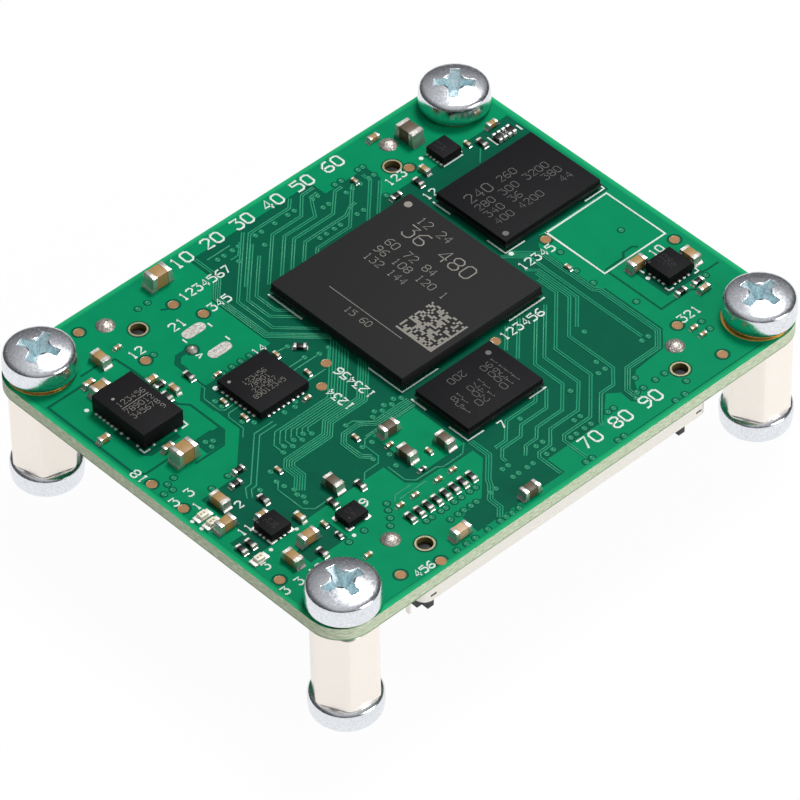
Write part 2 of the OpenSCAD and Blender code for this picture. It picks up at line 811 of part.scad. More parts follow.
// Some resistors on one ceramic block, with an end cap for each along both long sides
module resistor_array_body() {
    color([0.08, 0.08, 0.09])
    block(array_at, [array_l, array_w - 2 * array_cap_w, array_h], top_z);
}

module resistor_array_terminals() {
    color([0.82, 0.81, 0.79])
    for (i = [0 : array_count - 1], s = [-1, 1])
        block([array_at[0] + (i - (array_count - 1) / 2) * array_pitch,
               array_at[1] + s * (array_w - array_cap_w) / 2],
              [array_cap_l, array_cap_w, array_h], top_z);
}

// A base plate with a clear block of resin on it
module indicator_lamp_bodies() {
    base_l = led_l - 2 * led_cap_l;
    color([0.9, 0.86, 0.76])
    at_spots(led_spots, top_z) {
        translate([-base_l / 2, -led_w / 2, 0]) cube([base_l, led_w, led_base_t]);
        translate([-base_l / 2 + led_lens_inset, -led_w / 2 + led_lens_inset, 0])
            cube([base_l - 2 * led_lens_inset, led_w - 2 * led_lens_inset, led_h]);
    }
}

module indicator_lamp_terminals() {
    color([0.82, 0.8, 0.76]) at_spots(led_spots, top_z) chip_caps([led_l, led_w, led_base_t], led_cap_l);
}

// A contact's side view: a soldered tail, then a leg through the floor and up a tongue.
// grow widens it to make the slot that it lies in.
module contact_profile(leg_depth, grow) {
    tail_to = tail_end_y + (grow > 0 ? cut : 0);
    below = grow > 0 ? cut : 0;
    polygon([
        [tail_to, -below], [leg_y - grow, -below], [leg_y - grow, leg_depth + grow],
        [leg_y + contact_t + grow, leg_depth + grow], [leg_y + contact_t + grow, contact_t + grow],
        [tail_to, contact_t + grow]
    ]);
}

// One row of contacts, or of the slots that hold them
module contact_row(leg_depth, grow) {
    strip_w = contact_w + 2 * grow;
    for (i = [0 : row_count - 1])
        translate([(i - (row_count - 1) / 2) * contact_pitch - strip_w / 2, 0, 0])
            rotate([90, 0, 90]) linear_extrude(strip_w) contact_profile(leg_depth, grow);
}

module connector_contacts() {
    mirror([0, 1, 0]) contact_row(tall_leg_depth, 0);
    contact_row(low_leg_depth, 0);
}

// The moulded housing: a floor, a tall tongue, a low wall, end blocks, guide posts and pegs
module connector_housing() {
    rib_l = housing_l - 2 * end_block_l;
    difference() {
        union() {
            linear_extrude(floor_depth) round_rect(housing_l, housing_w, housing_corner_r);
            intersection() {
                linear_extrude(end_block_depth) round_rect(housing_l, housing_w, housing_corner_r);
                for (sx = [-1, 1])
                    block([sx * (housing_l - end_block_l) / 2, 0],
                          [end_block_l, housing_w, end_block_depth], 0);
            }
            translate([-rib_l / 2 - cut, -tongue_face_y - tall_tongue_t, 0])
                cube([rib_l + 2 * cut, tall_tongue_t, tall_tongue_depth]);
            translate([-rib_l / 2 - cut, tongue_face_y, 0])
                cube([rib_l + 2 * cut, low_wall_t, low_wall_depth]);
            both_ways() {
                for (p = guide_posts)
                    translate([p[0] - housing_l / 2, p[1] - housing_w / 2, 0])
                        cube([p[2], p[3], post_depth]);
                translate([housing_l / 2 - far_post[0] - far_post[2], far_post[1] - housing_w / 2, 0])
                    cube([far_post[2], far_post[3], post_depth]);
            }
        }
        mirror([0, 1, 0]) contact_row(tall_leg_depth, contact_fit);
        contact_row(low_leg_depth, contact_fit);
    }
    for (sx = [-1, 1])
        translate([sx * peg_x, peg_dy, -peg_l]) cylinder(d = peg_d, h = peg_l + cut);
}

// The stamped shield: a band round the housing with slots, end springs and two lock pins
module connector_shield() {
    difference() {
        translate([0, 0, shield_gap])
            linear_extrude(shield_depth - shield_gap)
                difference() {
                    round_rect(connector_l, connector_w, shield_corner_r);
                    round_rect(connector_l - 2 * shield_wall, connector_w - 2 * shield_wall,
                               shield_corner_r - shield_wall);
                }
        for (sx = [-1, 1])
            block([sx * shield_slot_x, 0], [shield_slot_l, 2 * connector_w, shield_slot_h],
                  shield_slot_depth - shield_slot_h / 2);
    }
    for (sx = [-1, 1])
        translate([sx * lock_x - shield_wall / 2, lock_dy - lock_pin_w / 2, -board_t])
            cube([shield_wall, lock_pin_w, board_t + shield_gap + cut]);
    both_ways()
        translate([-connector_l / 2 - end_tab_t, -end_tab_y - end_tab_w / 2, end_tab_from])
            cube([end_tab_t, end_tab_w, end_tab_depth - end_tab_from]);
}

module front_connector_housing() {
    color([0.1, 0.1, 0.11]) connector_frame(front_connector_y) connector_housing();
}

module front_connector_shield() {
    color([0.9, 0.88, 0.84]) connector_frame(front_connector_y) connector_shield();
}

module front_connector_contacts() {
    color([0.85, 0.7, 0.35]) connector_frame(front_connector_y) connector_contacts();
}

module rear_connector_housing() {
    color([0.1, 0.1, 0.11]) connector_frame(rear_connector_y) connector_housing();
}

module rear_connector_shield() {
    color([0.9, 0.88, 0.84]) connector_frame(rear_connector_y) connector_shield();
}

module rear_connector_contacts() {
    color([0.85, 0.7, 0.35]) connector_frame(rear_connector_y) connector_contacts();
}

module underside_chip_bodies() {
    color([0.13, 0.13, 0.13])
    for (p = underside_chip_spots)
        block(p, [underside_chip_side, underside_chip_side, underside_chip_t],
              board_z - land_t - underside_chip_t);
}

module underside_chip_lands() {
    color([0.78, 0.77, 0.75])
    for (p = underside_chip_spots)
        translate([p[0], p[1], board_z - land_t])
            square_lands(underside_chip_side, underside_chip_row, [0, 90, 180, 270]);
}

module underside_capacitor_bodies() {
    color([0.66, 0.47, 0.3])
    at_spots(underside_cap_spots, board_z - bypass_h)
        chip_body([bypass_l, bypass_w, bypass_h], bypass_cap_l);
}

module underside_capacitor_terminals() {
    color([0.8, 0.79, 0.77])
    at_spots(underside_cap_spots, board_z - bypass_h)
        chip_caps([bypass_l, bypass_w, bypass_h], bypass_cap_l);
}

module underside_inductor_body() {
    color([0.12, 0.12, 0.12])
    translate([inductor_at[0], inductor_at[1], board_z - inductor_size[2]])
        chip_body(inductor_size, inductor_cap_l);
}

module underside_inductor_terminals() {
    color([0.8, 0.79, 0.77])
    translate([inductor_at[0], inductor_at[1], board_z - inductor_size[2]])
        chip_caps(inductor_size, inductor_cap_l);
}

circuit_board();
mounting_pads();
test_pads();
peg_hole_rings();
jumper_pads();
lock_pin_solder();
spacer_front();
spacer_right();
spacer_left();
spacer_rear();
top_screws();
foot_screws();
processor_mold();
processor_substrate();
processor_balls();
memory_mold();
memory_substrate();
memory_balls();
flash_mold();
flash_substrate();
flash_balls();
controller_body();
controller_lands();
power_module_body();
power_module_lands();
termination_regulator_body();
termination_regulator_lands();
memory_regulator_body();
memory_regulator_lands();
load_switch_body();
load_switch_lands();
oscillator_body();
oscillator_lands();
resistor_array_body();
resistor_array_terminals();
bulk_capacitor_bodies();
bulk_capacitor_terminals();
filter_capacitor_bodies();
filter_capacitor_terminals();
bypass_capacitor_bodies();
bypass_capacitor_terminals();
tiny_capacitor_bodies();
tiny_capacitor_terminals();
resistor_bodies();
resistor_terminals();
indicator_lamp_bodies();
indicator_lamp_terminals();
front_connector_housing();
front_connector_shield();
front_connector_contacts();
rear_connector_housing();
rear_connector_shield();
rear_connector_contacts();
underside_chip_bodies();
underside_chip_lands();
underside_capacitor_bodies();
underside_capacitor_terminals();
underside_inductor_body();
underside_inductor_terminals();
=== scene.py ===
import math
import random

import bmesh
import bpy
from mathutils import Euler, Matrix, Vector
from mathutils.geometry import delaunay_2d_cdt


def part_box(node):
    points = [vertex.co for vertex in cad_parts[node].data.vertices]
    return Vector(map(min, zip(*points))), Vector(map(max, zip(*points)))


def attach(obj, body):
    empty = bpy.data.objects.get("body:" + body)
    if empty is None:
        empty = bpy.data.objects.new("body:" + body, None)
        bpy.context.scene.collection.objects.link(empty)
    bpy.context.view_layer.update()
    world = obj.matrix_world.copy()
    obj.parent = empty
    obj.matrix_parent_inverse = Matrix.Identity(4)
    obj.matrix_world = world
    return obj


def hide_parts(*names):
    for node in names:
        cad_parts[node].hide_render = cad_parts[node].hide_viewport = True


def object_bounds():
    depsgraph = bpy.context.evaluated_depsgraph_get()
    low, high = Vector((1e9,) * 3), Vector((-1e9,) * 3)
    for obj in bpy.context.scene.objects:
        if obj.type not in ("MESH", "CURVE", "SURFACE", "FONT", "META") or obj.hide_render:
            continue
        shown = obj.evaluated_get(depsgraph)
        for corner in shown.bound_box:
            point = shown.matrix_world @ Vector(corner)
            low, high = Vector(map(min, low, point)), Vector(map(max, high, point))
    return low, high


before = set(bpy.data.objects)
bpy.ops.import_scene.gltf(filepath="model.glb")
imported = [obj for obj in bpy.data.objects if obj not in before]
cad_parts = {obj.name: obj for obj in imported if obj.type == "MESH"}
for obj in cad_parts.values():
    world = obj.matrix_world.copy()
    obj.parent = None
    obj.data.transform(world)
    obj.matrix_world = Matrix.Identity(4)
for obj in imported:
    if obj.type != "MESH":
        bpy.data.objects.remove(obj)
cad_box = [list(corner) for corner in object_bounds()]


# Circuit board: glass-epoxy laminate, sawn to its outline and coated on both faces with green mask.
# Copper stops short of the edges, so light comes through there, and the sawn edge shows bare glass.
MM = 0.001
board_low, board_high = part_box("circuit_board")
board_top = board_high.z
board_bottom = board_low.z
half_length = board_high.x / MM
half_width = board_high.y / MM
copper_margin = 0.5


def paint(red, green, blue):
    """An sRGB colour, 0 to 255, as the linear colour that shaders take."""
    channels = [c / 255 for c in (red, green, blue)]
    linear = [c / 12.92 if c <= 0.04045 else ((c + 0.055) / 1.055) ** 2.4 for c in channels]
    return (*linear, 1.0)


def feed(tree, socket, value):
    """Links a socket to an input, or sets the input's own value."""
    if isinstance(value, bpy.types.NodeSocket):
        tree.links.new(value, socket)
    else:
        socket.default_value = value


def add(tree, kind, inputs=(), **settings):
    """Adds a node, with its settings and some of its inputs."""
    node = tree.nodes.new(kind)
    for name, value in settings.items():
        setattr(node, name, value)
    for name, value in dict(inputs).items():
        feed(tree, node.inputs[name], value)
    return node


def compute(tree, operation, first, second=0.0):
    """The result of a Math node."""
    return add(tree, "ShaderNodeMath", {0: first, 1: second}, operation=operation).outputs[0]


def blend(tree, factor, first, second):
    """A colour between two colours."""
    node = add(tree, "ShaderNodeMix", data_type="RGBA")
    for socket, value in zip((node.inputs[0], node.inputs[6], node.inputs[7]), (factor, first, second)):
        feed(tree, socket, value)
    return node.outputs[2]


def object_place(tree):
    """The point of the surface, in the object's own coordinates."""
    return add(tree, "ShaderNodeTexCoord").outputs["Object"]


def new_material(name, **sockets):
    """A material with its Principled shader and the constants set on it."""
    made = bpy.data.materials.new(name)
    made.use_nodes = True
    tree = made.node_tree
    shader = tree.nodes["Principled BSDF"]
    for socket, value in sockets.items():
        shader.inputs[socket.replace("_", " ")].default_value = value
    return made, tree, shader


def grain_group():
    """Uneven colour and gloss: a noise that shades a colour and gives a roughness and a height."""
    tree = bpy.data.node_groups.new("grain", "ShaderNodeTree")
    face = tree.interface
    face.new_socket("Colour", in_out="INPUT", socket_type="NodeSocketColor")
    for name in ("Scale", "Contrast", "Roughness", "Spread"):
        face.new_socket(name, in_out="INPUT", socket_type="NodeSocketFloat")
    face.new_socket("Colour", in_out="OUTPUT", socket_type="NodeSocketColor")
    face.new_socket("Roughness", in_out="OUTPUT", socket_type="NodeSocketFloat")
    face.new_socket("Height", in_out="OUTPUT", socket_type="NodeSocketFloat")
    given = add(tree, "NodeGroupInput").outputs
    noise = add(tree, "ShaderNodeTexNoise",
                {"Vector": object_place(tree), "Scale": given["Scale"], "Detail": 4.0})
    swing = compute(tree, "MULTIPLY", compute(tree, "SUBTRACT", noise.outputs["Fac"], 0.5), 2.0)
    shade = compute(tree, "ADD", compute(tree, "MULTIPLY", swing, given["Contrast"]), 1.0)
    shaded = add(tree, "ShaderNodeVectorMath", {0: given["Colour"], "Scale": shade}, operation="SCALE")
    gloss = compute(tree, "ADD", compute(tree, "MULTIPLY", swing, given["Spread"]), given["Roughness"])
    add(tree, "NodeGroupOutput",
        {"Colour": shaded.outputs[0], "Roughness": gloss, "Height": noise.outputs["Fac"]})
    return tree


grain = grain_group()


def place_grain(tree, colour, scale, contrast, roughness, spread):
    """Puts the grain group in a material."""
    return add(tree, "ShaderNodeGroup", {
        "Colour": colour, "Scale": scale, "Contrast": contrast, "Roughness": roughness,
        "Spread": spread}, node_tree=grain).outputs


def grainy(name, colour, scale, contrast, roughness, spread, bump=0.0, **sockets):
    """A material whose colour, gloss and height follow the grain. bump is the grain's height in metres."""
    made, tree, shader = new_material(name, **sockets)
    out = place_grain(tree, colour, scale, contrast, roughness, spread)
    feed(tree, shader.inputs["Base Color"], out["Colour"])
    feed(tree, shader.inputs["Roughness"], out["Roughness"])
    if bump:
        relief = add(tree, "ShaderNodeBump", {"Height": out["Height"], "Distance": bump, "Strength": 1.0})
        feed(tree, shader.inputs["Normal"], relief.outputs[0])
    return made


def board_finish():
    """Mask on the faces, dark over bare laminate and bright along the margin, and mottled sawn edges."""
    made, tree, shader = new_material("board_mask_and_edge", Specular_IOR_Level=0.04)
    place = add(tree, "ShaderNodeSeparateXYZ", {0: object_place(tree)}).outputs
    normal = add(tree, "ShaderNodeNewGeometry").outputs["Normal"]
    upright = add(tree, "ShaderNodeSeparateXYZ", {0: normal}).outputs["Z"]
    on_face = compute(tree, "GREATER_THAN", compute(tree, "ABSOLUTE", upright), 0.5)
    from_end = compute(tree, "SUBTRACT", half_length * MM, compute(tree, "ABSOLUTE", place["X"]))
    from_side = compute(tree, "SUBTRACT", half_width * MM, compute(tree, "ABSOLUTE", place["Y"]))
    from_edge = compute(tree, "MINIMUM", from_end, from_side)
    margin = add(tree, "ShaderNodeMapRange", {
        "Value": from_edge, "From Min": 0.15 * MM, "From Max": copper_margin * MM,
        "To Min": 1.0, "To Max": 0.0})
    in_margin = compute(tree, "LESS_THAN", from_edge, (copper_margin + 0.05) * MM)
    edge_band = blend(tree, margin.outputs[0], paint(4, 146, 94), paint(30, 170, 112))
    mask = blend(tree, in_margin, paint(0, 90, 66), edge_band)
    mask_grain = place_grain(tree, mask, scale=900.0, contrast=0.10, roughness=0.34, spread=0.05)
    streaked = add(tree, "ShaderNodeMapping", {0: object_place(tree), "Scale": (0.2, 0.2, 1.5)})
    fibres = add(tree, "ShaderNodeTexNoise",
                 {"Vector": streaked.outputs[0], "Scale": 9000.0, "Detail": 4.0})
    mottle = add(tree, "ShaderNodeMapRange",
                 {"Value": fibres.outputs["Fac"], "From Min": 0.32, "From Max": 0.68})
    edge = blend(tree, mottle.outputs[0], paint(172, 188, 150), paint(232, 241, 217))
    below = compute(tree, "LESS_THAN", place["Z"], board_bottom + 0.12 * MM)
    edge = blend(tree, below, edge, paint(150, 176, 142))
    in_hole = compute(tree, "GREATER_THAN", from_edge, 1.0 * MM)
    edge = blend(tree, in_hole, edge, paint(112, 100, 58))
    feed(tree, shader.inputs["Base Color"], blend(tree, on_face, edge, mask_grain["Colour"]))
    feed(tree, shader.inputs["Roughness"], compute(
        tree, "ADD", compute(tree, "MULTIPLY", on_face, -0.25), 0.6))
    return made


def dress(node, finish):
    """Gives a CAD node its finish."""
    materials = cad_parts[node].data.materials
    materials.clear()
    materials.append(finish)


dress("circuit_board", board_finish())


# Copper pours: sheets of copper foil etched on the board's faces, under the mask, which is paler over
# them. Windows in a pour show the darker laminate, and round clearances keep it off the holes. Two top
# windows also hold painted shade: dark laminate laid where the memory and the power module shade the board.
foil = 0.015
pour_corner = 3.2
pour_end, pour_side = half_length - copper_margin, half_width - copper_margin
cut_end, cut_side = half_length - pour_corner, half_width - pour_corner
pour_outline = [
    (-pour_end, cut_side), (-cut_end, pour_side), (cut_end, pour_side), (pour_end, cut_side),
    (pour_end, -cut_side), (cut_end, -pour_side), (-cut_end, -pour_side), (-pour_end, -cut_side),
]
top_windows_and_shade = [
    [(-5.5, 18.3), (7.5, 18.3), (7.5, 16.6), (11.9, 16.6), (11.9, 14.9), (10.6, 13.6), (10.6, 12.9),
     (19.0, 12.9), (19.6, 13.3), (24.3, 13.3), (24.3, 9.0), (-3.3, 9.0), (-3.3, 4.0), (-7.25, 7.7),
     (-7.25, 13.7), (-5.5, 15.4)],
    # Its strip along y 1.4 to 2.3, south of the memory, is painted shade that the memory casts on the board
    [(11.0, 9.5), (14.6, 9.5), (14.6, 2.3), (24.0, 2.3), (24.0, 1.4), (16.3, 1.4), (15.3, 0.4), (15.3, -6.2),
     (15.75, -6.65), (15.75, -12.9), (14.2, -14.5), (11.0, -14.75), (10.1, -15.5), (8.9, -17.2),
     (8.3, -17.0), (8.4, -15.7), (7.5, -15.0), (5.3, -17.0), (-0.7, -17.0), (-0.7, -18.9), (-9.8, -18.9),
     (-9.6, -17.0), (-7.1, -16.5), (-4.1, -13.5), (-4.1, -3.5), (11.0, -3.5)],
    [(-3.3, 4.2), (-7.2, 7.7), (-7.2, 6.95), (-13.8, 6.95), (-14.1, 7.2), (-15.25, 6.05), (-15.25, 1.65),
     (-18.9, -2.0), (-22.5, -2.0), (-22.5, -6.9), (-24.0, -6.9), (-24.0, -9.2), (-20.2, -9.2),
     (-17.3, -9.0), (-10.2, -9.0), (-10.2, -11.3), (-9.4, -12.05), (-7.2, -12.05), (-6.8, -12.4),
     (-4.0, -12.4), (-4.0, -11.4), (-8.5, -11.4), (-8.5, -5.9), (-4.2, -5.9), (-3.3, -5.0)],
    [(-21.0, -11.0), (-18.6, -10.2), (-17.2, -10.2), (-17.2, -12.6), (-21.0, -12.6)],
    [(-18.8, 2.95), (-16.3, 2.95), (-16.3, 2.2), (-17.2, 1.35), (-18.8, 1.35)],
    # Painted shade cast by the power module at its left and lower sides, partly over a real window below it
    [(-22.5, 8.0), (-21.9, 8.0), (-21.9, 4.7), (-19.0, 4.7), (-19.0, 4.1), (-22.0, 4.1), (-22.5, 4.6)],
    [(18.6, -7.0), (22.5, -7.0), (22.5, -10.6), (18.6, -10.6)],
]
# Narrow clearances in the pour, each a width and the points of its middle line
top_gaps = [
    (0.24, [(-20.1, 13.55), (-24.25, 13.55), (-24.25, 3.6), (-23.65, 3.0), (-16.9, 3.0)]),
    (0.22, [(-20.2, 14.4), (-18.6, 14.4), (-17.0, 14.0), (-16.85, 12.0), (-16.85, 7.0), (-16.2, 6.2),
            (-16.2, 2.4), (-17.3, 1.2), (-20.2, 1.2)]),
    (0.5, [(-12.3, 10.85), (-13.3, 10.85), (-13.9, 10.25), (-13.9, 9.2)]),
    (0.3, [(-14.1, 7.9), (-14.1, 7.1), (-15.2, 6.0), (-15.2, 4.4)]),
    (0.2, [(17.2, -5.5), (17.2, -11.3), (20.4, -11.3), (21.2, -12.1)]),
    (0.2, [(17.2, -5.1), (19.2, -5.1), (19.6, -4.65), (20.6, -4.65), (20.9, -5.0)]),
    (0.2, [(22.4, -10.5), (22.9, -10.6), (24.2, -10.6)]),
    (0.2, [(-9.7, 15.4), (-10.4, 15.4), (-10.8, 15.7)]),
    (0.16, [(5.7, -19.45), (20.0, -19.45)]),
    (0.16, [(-19.9, -19.5), (-14.6, -19.5)]),
]
# Where tracks pass through the board, as rows of a y and its x values, and singly
via_rows = [
    (16.85, (-3.8, -3.15, -2.25, -1.6, 0.2, 0.85, 2.25, 3.65, 4.35, 6.3, 6.85, 8.75, 9.4, 11.25, 11.75)),
    (15.55, (-2.75, 0.0, 6.25, 6.85, 8.75, 9.4, 10.25, 11.2, 11.75)),
    (13.1, (3.65, 4.35, 5.2, 5.85, 7.65, 8.35, 10.8)),
    (7.1, (-12.1, -11.1, -10.2, -9.3)),
    (-4.1, (-6.6, -5.6, -4.6)),
    (-4.45, (-7.1, -6.1, -5.1, -4.1)),
    (-15.4, (-11.8, -11.25, -10.3, -9.8, -8.9, -8.2, -7.3, -6.7, -3.9, -3.3, -0.35, 0.35, 3.7, 4.35)),
    (-16.55, (-10.4, -9.6, -9.0, -8.3, -7.7, -6.3, -5.7, -3.9, -3.3, -2.4, -1.8, -0.35, 0.35, 2.2, 2.8,
              3.65, 4.35, 6.2, 6.8, 9.3, 10.0, 11.3, 12.3)),
    (-19.25, (-12.3, -11.3, -10.4, -9.1, -7.8, -7.2, -6.6, -5.85, 1.2, 1.85, 4.6, 5.25, 10.8, 11.8)),
]
via_singles = [
    (-16.7, -3.4), (-17.1, -4.5), (-17.0, -5.25), (-16.7, -6.05), (-16.9, -6.6), (-16.7, -7.1),
    (-17.0, -7.65), (21.3, -2.7), (15.5, -3.6), (15.5, -5.5), (16.4, -9.35), (16.1, -1.2),
    (11.1, -8.95), (9.4, -12.0), (9.35, -13.0), (8.65, -13.0), (5.75, -12.9), (0.85, -12.4),
    (18.45, -14.45), (18.35, -15.45), (22.4, -11.0), (12.9, -18.3), (8.8, -17.0), (10.3, -15.3),
    (13.6, -12.75), (14.3, -12.75), (-12.0, 17.0), (-11.0, 17.0), (-14.55, 12.3), (-6.5, 5.8),
    (-6.4, 4.0), (-5.3, 3.5), (-4.3, 3.5), (-23.2, 1.0), (-22.4, 1.2), (-23.3, 0.3), (-24.1, 0.4),
    (-18.1, 2.4), (-17.6, 2.1), (-18.1, 1.7), (-14.6, 5.2), (-14.6, 4.4), (-14.6, 2.1), (-14.0, 1.4),
    (-11.6, 0.6), (-10.6, 0.5), (-10.2, 0.9), (-12.7, -12.0), (-13.1, -12.6), (-13.55, -13.3),
    (-14.1, -13.9), (-15.85, -12.9), (-17.5, -13.0), (-9.2, -3.7), (-9.9, -6.3), (-9.0, -6.4),
    (-8.95, -8.3), (-9.4, -9.5), (-10.2, -7.8), (-21.1, -1.65), (-19.3, -1.5), (-18.6, -4.3),
]
# A double row of vias, to which a bundle of tracks fans out
fan_vias = [(-14.6 + 0.49 * i, -2.55 if i % 2 == 0 else -2.1) for i in range(7)]
via_places = [(x, y) for y, row in via_rows for x in row] + via_singles + fan_vias
via_diameter = 0.5
via_moat = 0.72


def disc(x, y, diameter, sides=14):
    """The corners of a round outline."""
    turns = [2 * math.pi * i / sides for i in range(sides)]
    return [(x + diameter / 2 * math.cos(t), y + diameter / 2 * math.sin(t)) for t in turns]


mitre_limit = 0.3


def offset_line(points, distance):
    """A line beside another one, with its corners mitred."""
    moved = []
    for i, point in enumerate(points):
        here = Vector(point)
        ahead = Vector(points[min(i + 1, len(points) - 1)]) - here
        back = here - Vector(points[max(i - 1, 0)])
        first = (back if back.length else ahead).normalized()
        second = (ahead if ahead.length else back).normalized()
        side_a = Vector((-first.y, first.x))
        side_b = Vector((-second.y, second.x))
        middle = (side_a + side_b).normalized()
        moved.append(tuple(here + middle * distance / max(middle.dot(side_a), mitre_limit)))
    return moved


def strip(points, width):
    """The outline of a line of some width."""
    return offset_line(points, width / 2) + offset_line(points, -width / 2)[::-1]


def close_mesh(name, mesh):
    """The mesh data of a finished bmesh."""
    data = bpy.data.meshes.new(name)
    mesh.to_mesh(data)
    mesh.free()
    return data


def as_object(name, data):
    """An object of some data in the scene, at the origin."""
    made = bpy.data.objects.new(name, data)
    bpy.context.scene.collection.objects.link(made)
    return made


def copper_mesh(name, outlines, z, height):
    """Copper where the last of the outlines over a point is copper, as a closed sheet of some height."""
    corners, faces = [], []
    for points, _ in outlines:
        order = list(range(len(corners), len(corners) + len(points)))
        area = sum(a[0] * b[1] - b[0] * a[1] for a, b in zip(points, points[1:] + points[:1]))
        faces.append(order if area > 0 else order[::-1])
        corners += [Vector(p) for p in points]
    places, _, triangles, _, _, sources = delaunay_2d_cdt(corners, [], faces, 1, 1e-5)
    mesh = bmesh.new()
    verts = [mesh.verts.new((p.x * MM, p.y * MM, z)) for p in places]
    for triangle, source in zip(triangles, sources):
        if source and outlines[max(source)][1]:
            mesh.faces.new([verts[i] for i in triangle])
    bmesh.ops.delete(mesh, geom=[v for v in mesh.verts if not v.link_faces], context="VERTS")
    bmesh.ops.recalc_face_normals(mesh, faces=mesh.faces)
    grown = bmesh.ops.extrude_face_region(mesh, geom=list(mesh.faces), use_keep_orig=True)
    raised = [item for item in grown["geom"] if isinstance(item, bmesh.types.BMVert)]
    bmesh.ops.translate(mesh, verts=raised, vec=(0, 0, height))
    bmesh.ops.recalc_face_normals(mesh, faces=mesh.faces)
    return as_object(name, close_mesh(name, mesh))


def settle(piece, finish=None, replaced=()):
    """Puts a finished piece on the object: its finish, its body and the nodes it stands for."""
    if finish:
        piece.data.materials.clear()
        piece.data.materials.append(finish)
    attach(piece, "root")
    if replaced:
        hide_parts(*replaced)
    return piece


def solids(node):
    """The corner points of each separate solid of a CAD node, as lists of vectors."""
    mesh = bmesh.new()
    mesh.from_mesh(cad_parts[node].data)
    bmesh.ops.remove_doubles(mesh, verts=mesh.verts, dist=1e-7)
    left, found = set(mesh.verts), []
    while left:
        edge, island = [left.pop()], []
        while edge:
            vert = edge.pop()
            island.append(vert.co.copy())
            near = {e.other_vert(vert) for e in vert.link_edges} & left
            left -= near
            edge += near
        found.append(island)
    mesh.free()
    return sorted(found, key=lambda points: tuple(round(c, 6) for c in middle_of(points)))


def middle_of(points):
    """The middle of the box round some points."""
    return [(min(p[i] for p in points) + max(p[i] for p in points)) / 2 for i in range(3)]


def centres(node):
    """The middles of a node's solids on the board, in millimetres."""
    return [(m[0] / MM, m[1] / MM) for m in map(middle_of, solids(node))]


pad_clearance = 1.3
ring_clearance = 1.9
hole_x, hole_y, hole_clearance = 22.0, 17.0, 3.3
board_discs = [(disc(x, y, ring_clearance), False) for x, y in centres("peg_hole_rings")]
board_discs += [(disc(x, y, via_moat, 10), False) for x, y in via_places]
board_discs += [(disc(sx * hole_x, sy * hole_y, hole_clearance, 24), False)
                for sx in (-1, 1) for sy in (-1, 1)]
top_outlines = [(pour_outline, True)]
top_outlines += [(window, False) for window in top_windows_and_shade]
top_outlines += [(strip(points, width), False) for width, points in top_gaps]
top_outlines += [(disc(x, y, pad_clearance), False) for x, y in centres("test_pads")]
mask_on_copper = grainy("mask_on_copper", paint(0, 138, 92), scale=700.0, contrast=0.06, roughness=0.32,
                        spread=0.05, Specular_IOR_Level=0.04)
pour = copper_mesh("copper_pour_top", top_outlines + board_discs, board_top, foil * MM)
settle(pour, mask_on_copper)
# On the underside the pour leaves a window beside each connector, where its tracks fan out. Both are
# points of an x and a reach from the housing's inner side.
fan_count = 34
fan_pinch = 0.65
fan_slope = 0.35
bottom_fans = []
bottom_outlines = [(pour_outline, True)]
for side in ("front", "rear"):
    low, high = (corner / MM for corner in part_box(side + "_connector_housing"))
    start, end = low.x + 2, high.x - 2
    inward, inner_side = (1, high.y) if high.y < 0 else (-1, low.y)
    for i in range(fan_count):
        x = start + (end - start) * (i + 0.5) / fan_count
        drop = fan_slope * abs(x)
        fan = [(x, -1.0), (x, 0.9), (fan_pinch * x, 0.9 + drop), (fan_pinch * x, 2.2 + drop)]
        bottom_fans.append([(along, inner_side + reach * inward) for along, reach in fan])
    window = [(start - 1, -1.2), (end + 1, -1.2), (end + 1, 1.0), (fan_pinch * end + 1, 9.0),
              (3.0, 3.2), (-3.0, 3.2), (fan_pinch * start - 1, 9.0), (start - 1, 1.0)]
    bottom_outlines.append(([(along, inner_side + reach * inward) for along, reach in window], False))
pour = copper_mesh("copper_pour_bottom", bottom_outlines + board_discs, board_bottom, -foil * MM)
settle(pour, mask_on_copper)


# Tracks: narrow lines of the same foil that join the pins, raised under the mask, mostly in bundles
# that keep their spacing round each bend.
track_width = 0.13
track_height = 0.035
